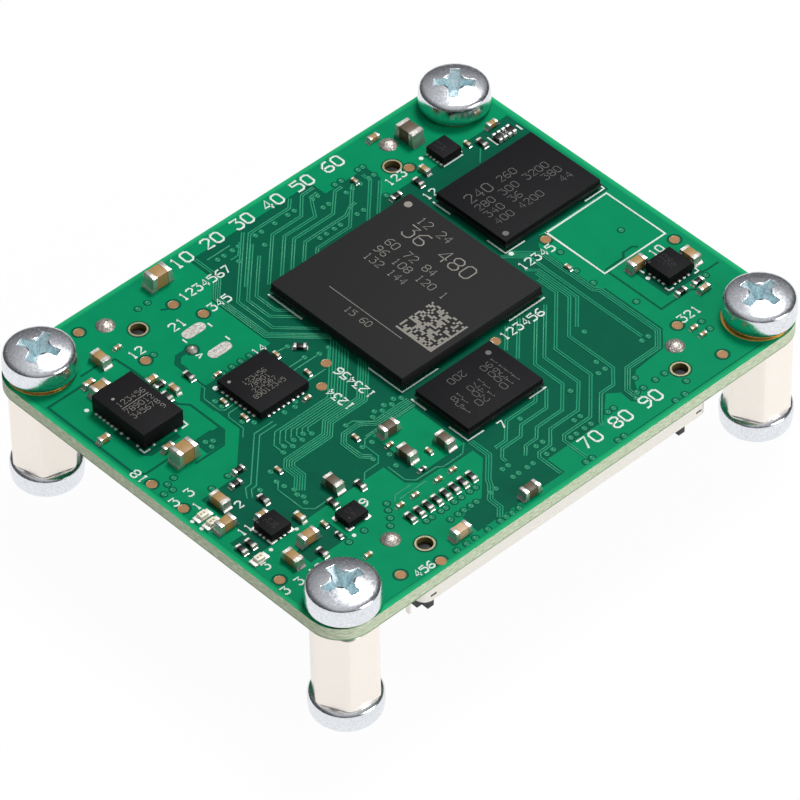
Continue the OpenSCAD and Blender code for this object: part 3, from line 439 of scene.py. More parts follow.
# Bundles as a count, a spacing and the points of the first track
top_tracks = [
    (4, 0.17, [(-5.3, 15.55), (-7.08, 13.75), (-7.08, 7.75), (-3.4, 4.05)]),
    (2, 0.2, [(-5.15, 18.1), (-5.15, 15.9)]),
    (2, 0.2, [(-0.3, 17.9), (-6.0, 12.2), (-6.0, 8.1), (-3.4, 5.5)]),
    (2, 0.2, [(-0.7, 16.4), (-5.3, 11.8), (-5.3, 9.2), (-3.4, 7.3)]),
    (2, 0.2, [(-1.2, 15.0), (-4.5, 11.7), (-4.5, 9.4), (-3.4, 8.3)]),
    (2, 0.2, [(5.0, 18.2), (4.25, 17.45), (0.0, 17.45), (-4.4, 13.05)]),
    (2, 0.2, [(7.3, 17.9), (5.95, 17.85), (4.3, 16.1), (1.2, 16.1), (-2.9, 12.0)]),
    (2, 0.2, [(7.1, 17.25), (6.3, 17.2), (5.05, 15.3), (1.75, 15.3), (-1.55, 12.0)]),
    (2, 0.2, [(9.0, 16.4), (8.2, 16.4), (6.3, 14.55), (2.1, 14.55), (-0.45, 12.0)]),
    (2, 0.2, [(8.5, 14.3), (7.8, 14.2), (6.9, 13.7), (2.5, 13.7), (0.8, 12.0)]),
    (2, 0.2, [(10.0, 15.9), (9.6, 15.9), (6.2, 12.5), (2.7, 12.5), (2.2, 12.0)]),
    (2, 0.2, [(11.0, 16.2), (11.0, 15.3), (7.7, 12.0)]),
    (2, 0.2, [(11.6, 14.8), (8.8, 12.0)]),
    (1, 0.2, [(20.0, 11.9), (18.8, 10.7)]),
    (1, 0.2, [(-4.4, 17.4), (-2.0, 17.4)]),
    (1, 0.2, [(-3.1, 16.1), (-2.3, 16.1), (-1.2, 17.2)]),
    (5, 0.2, [(-3.4, 1.05), (-6.5, -2.05), (-10.05, -2.05), (-11.1, -3.1), (-15.0, -3.1), (-15.75, -3.85),
              (-15.75, -5.1), (-16.75, -6.1)]),
    (1, 0.2, [(-15.8, -8.65), (-16.95, -8.65), (-17.6, -8.0), (-17.6, -5.2), (-16.9, -4.5)]),
    (3, 0.19, [(-3.8, -5.0), (-7.25, -5.0), (-8.3, -4.1), (-10.0, -4.1), (-10.85, -4.95), (-10.85, -7.0),
               (-10.2, -7.7)]),
    (2, 0.17, [(-3.8, -5.6), (-8.9, -5.6)]),
    (1, 0.2, [(-9.2, -3.7), (-8.5, -3.7), (-7.4, -4.8), (-3.8, -4.8)]),
    (1, 0.2, [(-12.2, -9.0), (-11.6, -8.4), (-10.2, -8.4), (-9.65, -7.85), (-9.65, -6.3), (-9.12, -5.77),
              (-8.9, -5.77)]),
    (2, 0.42, [(-12.9, 0.5), (-14.8, 0.5), (-18.65, -3.35), (-19.2, -3.35), (-19.9, -4.3)]),
    (1, 0.2, [(-9.95, -9.2), (-9.95, -11.1), (-9.4, -11.7), (-7.3, -11.75), (-6.9, -12.1), (-4.9, -12.1),
              (-4.0, -11.3)]),
    (1, 0.2, [(-12.2, -12.35), (-11.6, -11.75), (-10.0, -11.75)]),
    (1, 0.2, [(-11.7, -12.3), (-8.9, -12.3)]),
    (3, 0.2, [(-3.75, -11.6), (-3.75, -13.5), (-5.6, -15.35), (-5.9, -15.9), (-7.0, -17.0), (-7.0, -18.1),
              (-7.7, -18.8)]),
    (2, 0.2, [(4.6, -10.15), (3.0, -11.75), (-0.1, -11.75), (-1.6, -13.25), (-2.7, -13.25)]),
    (2, 0.2, [(4.5, -11.4), (3.1, -12.85), (0.4, -12.85), (-0.45, -13.7), (-2.4, -13.7), (-3.2, -14.5),
              (-3.2, -15.0)]),
    (2, 0.2, [(9.4, -5.2), (5.75, -8.85), (5.75, -11.9), (3.8, -13.85), (1.1, -13.85), (0.25, -14.7),
              (-0.9, -14.7), (-1.7, -15.5)]),
    (2, 0.2, [(11.0, -4.6), (6.8, -8.8), (6.8, -12.6), (4.65, -14.7), (1.7, -14.7), (0.5, -15.95),
              (-0.7, -15.95), (-1.1, -16.4), (-1.1, -18.8)]),
    (2, 0.2, [(12.55, -2.2), (12.55, -4.25), (8.05, -8.75), (8.05, -12.65), (4.8, -15.9), (2.0, -15.9),
              (1.5, -16.4), (1.5, -18.9)]),
    (2, 0.2, [(12.95, -1.6), (12.95, -5.3), (9.8, -8.45), (9.8, -13.3), (8.55, -14.6), (7.2, -14.6),
              (5.0, -16.8), (4.7, -17.4)]),
    (2, 0.2, [(12.6, -0.8), (13.35, -1.55), (13.35, -5.75), (11.0, -8.1)]),
    (2, 0.2, [(5.4, -7.6), (8.6, -4.4)]),
    (2, 0.2, [(5.4, -6.3), (7.3, -4.4)]),
    (2, 0.2, [(12.3, 1.6), (13.85, 0.05), (13.85, -12.4)]),
    (3, 0.19, [(12.9, 1.5), (14.78, -0.4), (14.78, -6.1), (15.12, -6.5), (15.12, -12.7), (13.9, -13.95),
               (10.6, -13.95), (8.75, -15.8), (8.75, -16.9)]),
    (1, 0.2, [(-8.4, 4.0), (-6.5, 4.0)]),
    (1, 0.2, [(-8.4, 3.5), (-5.4, 3.5)]),
    (1, 0.2, [(-8.4, 1.92), (-6.1, 1.92)]),
    (1, 0.2, [(-4.4, 3.4), (-5.6, 2.2)]),
    (1, 0.2, [(-7.6, 6.0), (-6.5, 5.8)]),
    (1, 0.2, [(-13.5, 3.95), (-14.7, 3.95), (-15.0, 4.25), (-15.0, 6.0), (-14.2, 6.8), (-14.2, 8.0)]),
    (1, 0.2, [(-13.5, 3.5), (-14.7, 3.5), (-15.0, 3.2), (-15.0, 1.5), (-15.7, 0.8)]),
]
# The bundle that fans out to the double row of vias
for i, (via_x, via_y) in enumerate(fan_vias):
    run_y, bend_y = -0.45 - 0.23 * i, -1.5 - 0.1 * i
    top_tracks.append((1, 0.2, [
        (-3.4, 4.2 - 0.33 * i), (-8.05 + 0.1 * i, run_y), (via_x + run_y - bend_y, run_y),
        (via_x, bend_y), (via_x, via_y)]))


def geometry_tree(name, **sockets):
    """A geometry node tree with named inputs, and the sockets that give them."""
    tree = bpy.data.node_groups.new(name, "GeometryNodeTree")
    tree.interface.new_socket("Geometry", in_out="INPUT", socket_type="NodeSocketGeometry")
    for socket, kind in sockets.items():
        tree.interface.new_socket(socket, in_out="INPUT", socket_type="NodeSocket" + kind)
    tree.interface.new_socket("Geometry", in_out="OUTPUT", socket_type="NodeSocketGeometry")
    return tree, add(tree, "NodeGroupInput").outputs


def end_tree(tree, given, shape):
    """Ends a geometry node tree: its instances made real, in the material that is given."""
    whole = add(tree, "GeometryNodeRealizeInstances", {"Geometry": shape})
    painted = add(tree, "GeometryNodeSetMaterial",
                  {"Geometry": whole.outputs[0], "Material": given["Material"]})
    add(tree, "NodeGroupOutput", {"Geometry": painted.outputs[0]})
    return tree


def raised_line_tree():
    """Turns the edges of a mesh into low bars."""
    tree, given = geometry_tree("raised_line", Width="Float", Height="Float", Material="Material")
    line = add(tree, "GeometryNodeMeshToCurve", {"Mesh": given["Geometry"]})
    level = add(tree, "GeometryNodeSetCurveNormal", {"Curve": line.outputs[0]}, mode="Z_UP")
    profile = add(tree, "GeometryNodeCurvePrimitiveQuadrilateral",
                  {"Width": given["Width"], "Height": given["Height"]})
    bar = add(tree, "GeometryNodeCurveToMesh",
              {"Curve": level.outputs[0], "Profile Curve": profile.outputs[0], "Fill Caps": True})
    return end_tree(tree, given, bar.outputs[0])


def evaluated_mesh(holder):
    """The mesh of an object with its modifiers applied."""
    bpy.context.view_layer.update()
    return bpy.data.meshes.new_from_object(holder.evaluated_get(bpy.context.evaluated_depsgraph_get()))


def grow(name, source, tree, **inputs):
    """Runs a geometry tree on a mesh and returns the result as a plain object."""
    holder = as_object(name, source)
    modifier = holder.modifiers.new("shape", "NODES")
    modifier.node_group = tree
    identifiers = {item.name: item.identifier for item in tree.interface.items_tree
                   if item.in_out == "INPUT"}
    for socket, value in inputs.items():
        modifier[identifiers[socket]] = value
    shaped = evaluated_mesh(holder)
    holder.modifiers.remove(modifier)
    holder.data = shaped
    return holder


line_levels = 12


def line_mesh(lines, z, step):
    """Edges along lines given in millimetres, on levels a step apart, so that neighbours share no top."""
    verts, edges = [], []
    for index, points in enumerate(lines):
        edges += [(len(verts) + i, len(verts) + i + 1) for i in range(len(points) - 1)]
        verts += [(x * MM, y * MM, z - index % line_levels * step * MM) for x, y in points]
    data = bpy.data.meshes.new("lines")
    data.from_pydata(verts, edges, [])
    return data


def bundle(count, spacing, points):
    """Lines side by side."""
    return [offset_line(points, i * spacing) for i in range(count)]


raised_line = raised_line_tree()


def draw_lines(name, lines, z, step, width, height, finish):
    """Low bars along lines in millimetres, with their middles at z metres or some steps below."""
    return grow(name, line_mesh(lines, z, step), raised_line,
                Width=width * MM, Height=height * MM, Material=finish)


track_finish = grainy("mask_on_track", paint(36, 146, 108), scale=900.0, contrast=0.08, roughness=0.3,
                      spread=0.05, Specular_IOR_Level=0.2)
for name, lines, z, step in (
        ("tracks_top", [line for entry in top_tracks for line in bundle(*entry)],
         board_top + track_height * MM / 2, 0.001),
        ("tracks_bottom", bottom_fans, board_bottom - track_height * MM / 2, 0.0)):
    settle(draw_lines(name, lines, z, step, track_width, track_height, track_finish))


# Vias: plated holes that carry tracks through the board, each a low ring closed by the mask. In a pour
# a dark moat keeps the ring apart from the copper round it.
def turned_mesh(name, profile, sides=32, smooth=35.0):
    """A mesh turned about Z from a profile of (radius, height) points in millimetres, bottom to top."""
    mesh = bmesh.new()
    rings = []
    for radius, height in profile:
        if radius == 0:
            rings.append([mesh.verts.new((0, 0, height * MM))] * sides)
            continue
        turns = [2 * math.pi * i / sides for i in range(sides)]
        rings.append([mesh.verts.new((radius * MM * math.cos(t), radius * MM * math.sin(t), height * MM))
                      for t in turns])
    for low, high in zip(rings, rings[1:]):
        for i in range(sides):
            j = (i + 1) % sides
            corners = [low[i], low[j], high[j], high[i]]
            mesh.faces.new(list(dict.fromkeys(corners)))
    return mesh_data(name, mesh, smooth)


def mesh_data(name, mesh, smooth=35.0):
    """Ends a bmesh: outward normals, smooth faces, and sharp edges where they meet at an angle."""
    bmesh.ops.recalc_face_normals(mesh, faces=mesh.faces)
    for face in mesh.faces:
        face.smooth = True
    for edge in mesh.edges:
        edge.smooth = len(edge.link_faces) == 2 and edge.calc_face_angle(0.0) < math.radians(smooth)
    return close_mesh(name, mesh)


def set_out_tree():
    """Sets a part out on points, with the turn and size that each point carries."""
    tree, given = geometry_tree("set_out", Part="Object", Material="Material")
    part = add(tree, "GeometryNodeObjectInfo", {"Object": given["Part"]}, transform_space="ORIGINAL")
    turn = add(tree, "GeometryNodeInputNamedAttribute", {"Name": "turn"}, data_type="FLOAT_VECTOR")
    size = add(tree, "GeometryNodeInputNamedAttribute", {"Name": "size"}, data_type="FLOAT_VECTOR")
    rotation = add(tree, "FunctionNodeEulerToRotation", {0: turn.outputs[0]})
    placed = add(tree, "GeometryNodeInstanceOnPoints", {
        "Points": given["Geometry"], "Instance": part.outputs["Geometry"],
        "Rotation": rotation.outputs[0], "Scale": size.outputs[0]})
    return end_tree(tree, given, placed.outputs[0])


set_out = set_out_tree()


def set_out_parts(name, part, places, finish):
    """Copies of a part at places of (x, y, z, turn, size, tone): metres, a turn vector, factors, a tone."""
    points = bpy.data.meshes.new("points")
    points.from_pydata([place[:3] for place in places], [], [])
    for key, column in (("turn", 3), ("size", 4)):
        flat = [c for place in places for c in place[column]]
        points.attributes.new(key, "FLOAT_VECTOR", "POINT").data.foreach_set("vector", flat)
    tones = [place[5] for place in places]
    points.attributes.new("tone", "FLOAT", "POINT").data.foreach_set("value", tones)
    holder = as_object("part", part)
    made = grow(name, points, set_out, Part=holder, Material=finish)
    bpy.data.objects.remove(holder)
    return made


level = (0.0, 0.0, 0.0)
upside_down = (math.pi, 0.0, 0.0)
full = (1.0, 1.0, 1.0)


def flat_places(points, z, turn=level):
    """Places at one height, for points in millimetres."""
    return [(x * MM, y * MM, z, turn, full, 0.0) for x, y in points]


via_radius = via_diameter / 2
via_part = turned_mesh("via", [
    (0.0, 0.0), (via_radius, 0.0), (via_radius, 0.03), (via_radius * 0.85, 0.055), (via_radius * 0.5, 0.055),
    (via_radius * 0.35, 0.03), (0.0, 0.025)], sides=14)
via_finish = grainy("mask_on_via", paint(16, 132, 94), scale=900.0, contrast=0.08, roughness=0.3,
                    spread=0.05, Specular_IOR_Level=0.2)
fan_ends = [fan[-1] for fan in bottom_fans]
for name, places in (
        ("vias_top", flat_places(via_places, board_top)),
        ("vias_bottom", flat_places(via_places + fan_ends, board_bottom, upside_down))):
    settle(set_out_parts(name, via_part, places, via_finish))


# Silkscreen: white ink printed on the mask: outlines of the chips, pin 1 dots, and small plain numbers
# where the board carries its labels.
ink_height = 0.045
ink_step = 0.0008
outline_width = 0.16
ink_level = board_top + (foil + ink_height / 2) * MM
spare_frame = [(16.85, 1.15), (23.5, 1.15), (23.5, -5.4), (16.85, -5.4), (16.85, 1.25)]
chip_outlines = [
    [(-3.62, 11.17), (-3.62, 7.25)],
    [(-3.62, -0.3), (-3.62, -4.08), (0.17, -4.08)],
    [(7.75, -4.05), (11.6, -4.05)],
    [(12.92, 9.95), (12.92, 7.95)],
    [(12.92, 3.75), (12.92, 1.67), (15.0, 1.67)],
    [(21.6, 1.67), (23.75, 1.67), (23.75, 2.1)],
    [(-3.63, -5.1), (-3.63, -6.75)],
    [(-3.63, -9.3), (-3.63, -11.4), (-2.0, -11.4)],
    [(2.9, -11.3), (4.72, -11.3)],
    [(-22.2, 5.3), (-22.2, 4.75), (-21.6, 4.75)],
    [(-18.4, 4.75), (-17.8, 4.75), (-17.8, 5.3)],
    [(16.4, 12.37), (18.5, 12.37)],
    [(19.1, -7.0), (19.1, -7.5)],
    [(19.1, -9.8), (19.1, -10.25), (19.6, -10.25)],
    [(21.9, -10.25), (22.35, -10.25), (22.35, -9.8)],
    [(21.29, 11.2), (21.29, 12.46)],
    [(23.96, 11.2), (23.96, 11.9)],
    [(-11.83, 11.5), (-11.83, 12.0)],
    [(-9.2, 11.5), (-9.2, 12.0)],
    [(-9.2, 9.45), (-9.2, 9.95)],
    [(-12.3, 9.55), (-11.8, 9.75), (-12.3, 9.95)],
]
# Dots, each a place and a diameter
ink_dots = [
    (13.2, 1.33, 0.45), (-13.6, 6.2, 0.5), (-22.33, 11.25, 0.4), (15.78, 14.33, 0.4), (18.92, -8.1, 0.4),
    (-19.4, -9.28, 0.35), (-24.5, -3.25, 0.35), (-24.5, -4.3, 0.35), (-22.25, -9.55, 0.35),
    (-16.75, -12.75, 0.35), (5.05, -4.85, 0.4),
]
# Plain numbers: the text, where it starts, its height and its turn in degrees
large_numbers = [("10 20 30 40 50 60", -6.8, 18.2, 1.15, 0), ("70 80 90", 2.2, -18.35, 1.15, 0)]
small_numbers = [
    ("1234567", -8.8, 15.15, 0.8, 0), ("12", -16.0, 13.0, 0.8, 0), ("21", -11.7, 13.1, 0.85, 0),
    ("345", -8.0, 12.7, 0.8, 0), ("14", -8.9, 6.7, 0.7, 0), ("18", -23.8, 2.5, 0.8, 90),
    ("3 3", -24.4, -1.2, 0.8, 0), ("1", -23.4, -2.6, 0.7, 0), ("2", -21.0, -4.7, 0.7, 0),
    ("11", -22.8, -7.0, 0.7, 0), ("3", -23.9, -10.9, 0.7, 0), ("9", -14.1, -11.1, 0.75, 0),
    ("3 3 10", -24.6, -13.8, 0.75, 0), ("456", -16.3, -19.3, 0.7, 0), ("1234", -7.2, -2.6, 0.75, 90),
    ("123456", -5.15, -2.75, 0.75, 90), ("123456", 6.1, -5.4, 0.8, 0), ("12345", 12.6, -0.7, 0.8, 0),
    ("123", 11.8, 13.7, 0.75, 0), ("12", 12.8, 10.4, 0.75, 0), ("10", 21.0, -6.7, 0.75, 0),
    ("321", 17.3, -13.6, 0.8, 0), ("7", -0.8, -12.3, 0.75, 0),
]
# The strokes of the figures, on a grid 4 wide and 6 high
digit_height = 6
digit_pitch = 5.6
digit_strokes = {
    "0": [[(0, 1), (0, 5), (1, 6), (3, 6), (4, 5), (4, 1), (3, 0), (1, 0), (0, 1)]],
    "1": [[(1, 5), (2, 6), (2, 0)], [(1, 0), (3, 0)]],
    "2": [[(0, 5), (1, 6), (3, 6), (4, 5), (4, 4), (0, 0), (4, 0)]],
    "3": [[(0, 6), (4, 6), (2, 4), (3, 4), (4, 3), (4, 1), (3, 0), (1, 0), (0, 1)]],
    "4": [[(3, 0), (3, 6), (0, 2), (4, 2)]],
    "5": [[(4, 6), (0, 6), (0, 4), (3, 4), (4, 3), (4, 1), (3, 0), (0, 0)]],
    "6": [[(4, 6), (2, 6), (0, 4), (0, 1), (1, 0), (3, 0), (4, 1), (4, 2), (3, 3), (0, 3)]],
    "7": [[(0, 6), (4, 6), (1, 0)]],
    "8": [[(1, 3), (0, 4), (0, 5), (1, 6), (3, 6), (4, 5), (4, 4), (3, 3), (1, 3), (0, 2), (0, 1), (1, 0),
           (3, 0), (4, 1), (4, 2), (3, 3)]],
    "9": [[(0, 0), (2, 0), (4, 2), (4, 5), (3, 6), (1, 6), (0, 5), (0, 4), (1, 3), (4, 3)]],
}


def number_lines(text, x, y, height, turn):
    """The strokes of a plain number, as lines in millimetres."""
    unit = height / digit_height
    direction = Vector((math.cos(math.radians(turn)), math.sin(math.radians(turn))))
    upward = Vector((-direction.y, direction.x))
    start = Vector((x, y))
    lines = []
    for index, sign in enumerate(text):
        for stroke in digit_strokes.get(sign, ()):
            lines.append([tuple(start + direction * (digit_pitch * index + a) * unit + upward * b * unit)
                          for a, b in stroke])
    return lines


def number_rows(rows):
    """The strokes of several plain numbers."""
    return [line for row in rows for line in number_lines(*row)]


ink = grainy("white_ink", paint(222, 238, 228), scale=3000.0, contrast=0.10, roughness=0.5, spread=0.1)
for label, width, lines in (
        ("outlines", outline_width, chip_outlines), ("spare_frame", 0.2, [spare_frame]),
        ("numbers", 0.15, number_rows(small_numbers)), ("large_numbers", 0.19, number_rows(large_numbers))):
    row = draw_lines("silkscreen_" + label, lines, ink_level, ink_step, width, ink_height, ink)
    settle(row)
# On the underside a frame runs round each chip
frame_gap = 0.4
under_frames = []
for points in solids("underside_chip_bodies"):
    xs, ys = [p.x / MM for p in points], [p.y / MM for p in points]
    left, right = min(xs) - frame_gap, max(xs) + frame_gap
    near, far = min(ys) - frame_gap, max(ys) + frame_gap
    under_frames.append([(left, near), (right, near), (right, far), (left, far), (left, near)])
under_level = board_bottom - (foil + ink_height / 2) * MM
frames = draw_lines("silkscreen_underside", under_frames, under_level, 0.0, outline_width, ink_height, ink)
settle(frames)
dot_part = turned_mesh("dot", [(0.0, 0.0), (0.5, 0.0), (0.5, 0.8), (0.42, 1.0), (0.0, 1.0)], sides=16)
dots = set_out_parts("silkscreen_dots", dot_part, [
    (x * MM, y * MM, board_top + foil * MM, level, (size, size, ink_height), 0.0)
    for x, y, size in ink_dots], ink)
settle(dots)


# Bare metal of the board: gold-plated rings under the screws, copper test pads, tinned jumper pads,
# plated rings round the connectors' pegs and domes of solder on their lock pins.
gold = grainy("gold_plate", paint(226, 176, 88), scale=1500.0, contrast=0.10, roughness=0.28, spread=0.08,
              Metallic=1.0)
pad_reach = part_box("mounting_pads")[1].x / MM - hole_x
pad_bore = 1.75
pad_height = 0.04
# The mask overlaps the pads a little more at some corners: the share of a pad that it leaves bare
pad_rings = {(-1, -1): 0.9, (1, -1): 0.97, (-1, 1): 0.92, (1, 1): 0.84}
ring_part = turned_mesh("pad_ring", [
    (pad_bore, 0.0), (pad_reach, 0.0), (pad_reach, 0.03), (pad_reach - 0.02, pad_height),
    (pad_bore, pad_height), (pad_bore, 0.0)], sides=64)
ring_places = []
for (sx, sy), bare in pad_rings.items():
    for z, turn in ((board_top, level), (board_bottom, upside_down)):
        ring_places.append((sx * hole_x * MM, sy * hole_y * MM, z, turn, (bare, bare, 1.0), 0.0))
settle(set_out_parts("mounting_pad_rings", ring_part, ring_places, gold),
       replaced=["mounting_pads"])
copper = grainy("bare_copper", paint(146, 104, 64), scale=2500.0, contrast=0.25, roughness=0.45,
                spread=0.1, Metallic=0.35)
pad_rim = grainy("pad_rim", paint(192, 164, 116), scale=2500.0, contrast=0.15, roughness=0.4, spread=0.1,
                 Metallic=0.4)
disc_part = turned_mesh("pad_disc", [
    (0.0, 0.0), (0.43, 0.0), (0.43, 0.7), (0.41, 0.9), (0.0, 0.9)], sides=28)
rim_part = turned_mesh("pad_rim", [
    (0.42, 0.0), (0.5, 0.0), (0.5, 0.7), (0.47, 1.0), (0.42, 0.8), (0.42, 0.0)], sides=28)
bare_share = 0.92
# One test pad has a dome of solder: where it stands
soldered_x, soldered_y = -12.05, 10.65
pad_places, soldered = [], []
for points in solids("test_pads"):
    x, y, _ = middle_of(points)
    across = (max(p.x for p in points) - min(p.x for p in points)) / MM * bare_share
    if math.hypot(x / MM - soldered_x, y / MM - soldered_y) < 0.3:
        soldered.append((x, y, board_top, level, (0.58, 0.58, 1.0), 0.0))
    pad_places.append((x, y, board_top, level, (across, across, pad_height), 0.0))
settle(set_out_parts("test_pad_discs", disc_part, pad_places, copper), replaced=["test_pads"])
settle(set_out_parts("test_pad_rims", rim_part, pad_places, pad_rim))
dress("peg_hole_rings", grainy("plated_ring", paint(148, 142, 110), scale=2500.0, contrast=0.25,
                               roughness=0.4, spread=0.1, Metallic=0.6))
solder = grainy("solder", paint(180, 177, 171), scale=4200.0, contrast=0.3, roughness=0.36, spread=0.12,
                bump=0.00002, Metallic=0.8)
dull_solder = grainy("dull_solder", paint(182, 174, 166), scale=4600.0, contrast=0.6, roughness=0.4,
                     spread=0.2, bump=0.00008, Metallic=0.8)
dress("jumper_pads", solder)
blob_part = turned_mesh("solder_blob", [
    (0.0, 0.0), (0.8, 0.0), (0.8, 0.03), (0.72, 0.09), (0.55, 0.2), (0.35, 0.29), (0.15, 0.34),
    (0.0, 0.35)], sides=28, smooth=80.0)
blob_places = flat_places(centres("lock_pin_solder"), board_top) + soldered
blobs = set_out_parts("lock_pin_solder_domes", blob_part, blob_places, dull_solder)
settle(blobs, replaced=["lock_pin_solder"])


# Spacers: hexagon rod of brass, cut to length, chamfered and tapped through, with a nickel plating. The
# board lies on them and the screws from above and below hold it there.
nickel = grainy("nickel_plate", paint(255, 247, 238), scale=1200.0, contrast=0.02, roughness=0.3,
                spread=0.06, Metallic=0.82)
across_flats = 5.0
spacer_bore = 2.9
spacer_chamfer = 0.3
corner_round = 0.07
rod_steps = 72


def hexagon_rod(node, turn):
    """A hexagon rod in a spacer's place, with blunted corners, chamfered ends and a bore."""
    low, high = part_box(node)
    x, y, _ = (low + high) / 2
    flat = across_flats / 2 * MM
    corner = flat / math.cos(math.pi / 6) - corner_round * MM
    turns = [2 * math.pi * i / rod_steps for i in range(rod_steps)]
    reaches = [min(flat / math.cos(t % (math.pi / 3) - math.pi / 6), corner) for t in turns]
    bevel = spacer_chamfer * MM
    end_reach = flat - bevel * 0.35
    levels = [(low.z, end_reach), (low.z + bevel * 0.75, corner),
              (high.z - bevel * 0.75, corner), (high.z, end_reach)]
    rings = [[(spacer_bore / 2 * MM, z) for _ in turns] for z in (high.z, low.z)]
    rings += [[(min(reach, limit), z) for reach in reaches] for z, limit in levels]
    mesh = bmesh.new()
    rows = [[mesh.verts.new((x + r * math.cos(t + turn), y + r * math.sin(t + turn), z))
             for (r, z), t in zip(ring, turns)] for ring in rings]
    for a, b in zip(rows, rows[1:] + rows[:1]):
        for i in range(rod_steps):
            j = (i + 1) % rod_steps
            mesh.faces.new((a[i], a[j], b[j], b[i]))
    return as_object(node + "_rod", mesh_data(node + "_rod", mesh, 20.0))


for corner_name, degrees in (("front", -4.5), ("right", -4.0), ("left", -16.5), ("rear", 10.0)):
    node = "spacer_" + corner_name
    settle(hexagon_rod(node, math.radians(degrees)), nickel, [node])


# Screws: cold-headed steel pan heads with a pressed cross recess, plated with bluish zinc. The upper
# ones hold the board down and the lower ones are the module's feet.
top_seat = board_top + pad_height * MM
foot_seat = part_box("spacer_front")[0].z
head_height = foot_seat / MM
head_radius = 2.975
dome_radius = 8.0
top_flat = 0.06
top_shank, foot_shank = 5.0, 4.0
recess_reach = 1.65
recess_wing = 0.8
recess_depth = 1.4


def cross_outline(reach, wing, root, z):
    """The outline of a cross whose wings widen in an arc to their roots."""
    w = wing / 2
    middle = w + root
    arc = [math.radians(270 - 90 * i / 4) for i in range(5)]
    quarter = [(reach, -w), (reach, w)]
    quarter += [(middle + root * math.cos(t), middle + root * math.sin(t)) for t in arc]
    points = []
    for i in range(4):
        c, s = round(math.cos(i * math.pi / 2)), round(math.sin(i * math.pi / 2))
        points += [(x * c - y * s, x * s + y * c, z) for x, y in quarter]
    return points


def screw_mesh(shank):
    """A pan head with its recess and the plain shank under it; its recess faces carry the mark recess."""
    profile = [(0.0, -shank), (1.2, -shank), (1.45, -shank + 0.3), (1.45, 0.0), (2.58, 0.0), (2.75, 0.04),
               (2.88, 0.15), (2.95, 0.32), (head_radius, 0.55), (2.97, 0.9), (2.95, 1.25), (2.925, 1.5),
               (2.9, 1.68), (2.86, 1.8), (2.8, 1.895), (2.72, 1.96)]
    for r in (2.62, 2.45, 2.25, 2.05, 1.9, 1.75, 1.6, 1.45, 1.3, 1.15, 1.0, 0.6, 0.3, 0.0):
        dome = head_height + top_flat - dome_radius + math.sqrt(dome_radius ** 2 - r ** 2)
        profile.append((r, min(dome, head_height)))
    head = as_object("head", turned_mesh("head", profile, sides=96, smooth=45.0))
    tool = bmesh.new()
    levels = [(recess_reach + 0.15, recess_wing + 0.1, 0.5, head_height + 0.4),
              (recess_reach, recess_wing, 0.5, head_height - 0.25),
              (1.15, 0.68, 0.36, head_height - 0.75), (0.5, 0.5, 0.12, head_height - recess_depth)]
    rows = [[tool.verts.new([c * MM for c in p]) for p in cross_outline(*entry)] for entry in levels]
    count = len(rows[0])
    for a, b in zip(rows, rows[1:]):
        for i in range(count):
            j = (i + 1) % count
            tool.faces.new((a[i], b[i], b[j], a[j]))
    tool.faces.new(rows[0])
    tool.faces.new(rows[-1][::-1])
    cutter = as_object("cutter", mesh_data("cutter", tool, 20.0))
    cut = head.modifiers.new("recess", "BOOLEAN")
    cut.operation = "DIFFERENCE"
    cut.object = cutter
    cut.solver = "EXACT"
    head.data.materials.append(bpy.data.materials.new("outside"))
    cutter.data.materials.append(bpy.data.materials.new("inside"))
    cut.material_mode = "TRANSFER"
    result = evaluated_mesh(head)
    inside = [float(face.material_index > 0) for face in result.polygons]
    result.attributes.new("recess", "FLOAT", "FACE").data.foreach_set("value", inside)
    result.polygons.foreach_set("material_index", [0] * len(inside))
    result.materials.clear()
    for made in (head, cutter):
        bpy.data.objects.remove(made)
    return result


def zinc_finish():
    """Bluish zinc, grey and speckled outside, brighter and streaked where the punch pressed it."""
    made, tree, shader = new_material("blue_zinc")
    inside = add(tree, "ShaderNodeAttribute", attribute_name="recess").outputs["Fac"]
    upright = add(tree, "ShaderNodeMapping", {0: object_place(tree), "Scale": (1.0, 1.0, 0.15)})
    streaks = add(tree, "ShaderNodeTexNoise", {"Vector": upright.outputs[0], "Scale": 5200.0, "Detail": 2.0})
    pressed = blend(tree, streaks.outputs["Fac"], paint(150, 200, 212), paint(252, 255, 255))
    base = blend(tree, inside, paint(230, 233, 238), pressed)
    gloss = compute(tree, "ADD", compute(tree, "MULTIPLY", inside, 0.08), 0.22)
    out = place_grain(tree, base, scale=5200.0, contrast=0.26, roughness=gloss, spread=0.14)
    feed(tree, shader.inputs["Base Color"], out["Colour"])
    feed(tree, shader.inputs["Roughness"], out["Roughness"])
    feed(tree, shader.inputs["Metallic"], compute(
        tree, "SUBTRACT", 1.0, compute(tree, "MULTIPLY", inside, 0.65)))
    relief = add(tree, "ShaderNodeBump", {"Height": out["Height"], "Distance": 0.000012, "Strength": 0.6})
    feed(tree, shader.inputs["Normal"], relief.outputs[0])
    return made


zinc = zinc_finish()
top_places, foot_places = [], []
for corner_name, top_turn, foot_turn in (
        ("front", -9, 30), ("right", 5, 15), ("left", 25, 50), ("rear", 44, 75)):
    low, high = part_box("spacer_" + corner_name)
    x, y, _ = (low + high) / 2
    top_places.append((x, y, top_seat, (0, 0, math.radians(top_turn)), full, 0.0))
    foot_places.append((x, y, foot_seat, (math.pi, 0, math.radians(foot_turn)), full, 0.0))
settle(set_out_parts("top_screw_set", screw_mesh(top_shank), top_places, zinc),
       replaced=["top_screws"])
settle(set_out_parts("foot_screw_set", screw_mesh(foot_shank), foot_places, zinc),
       replaced=["foot_screws"])


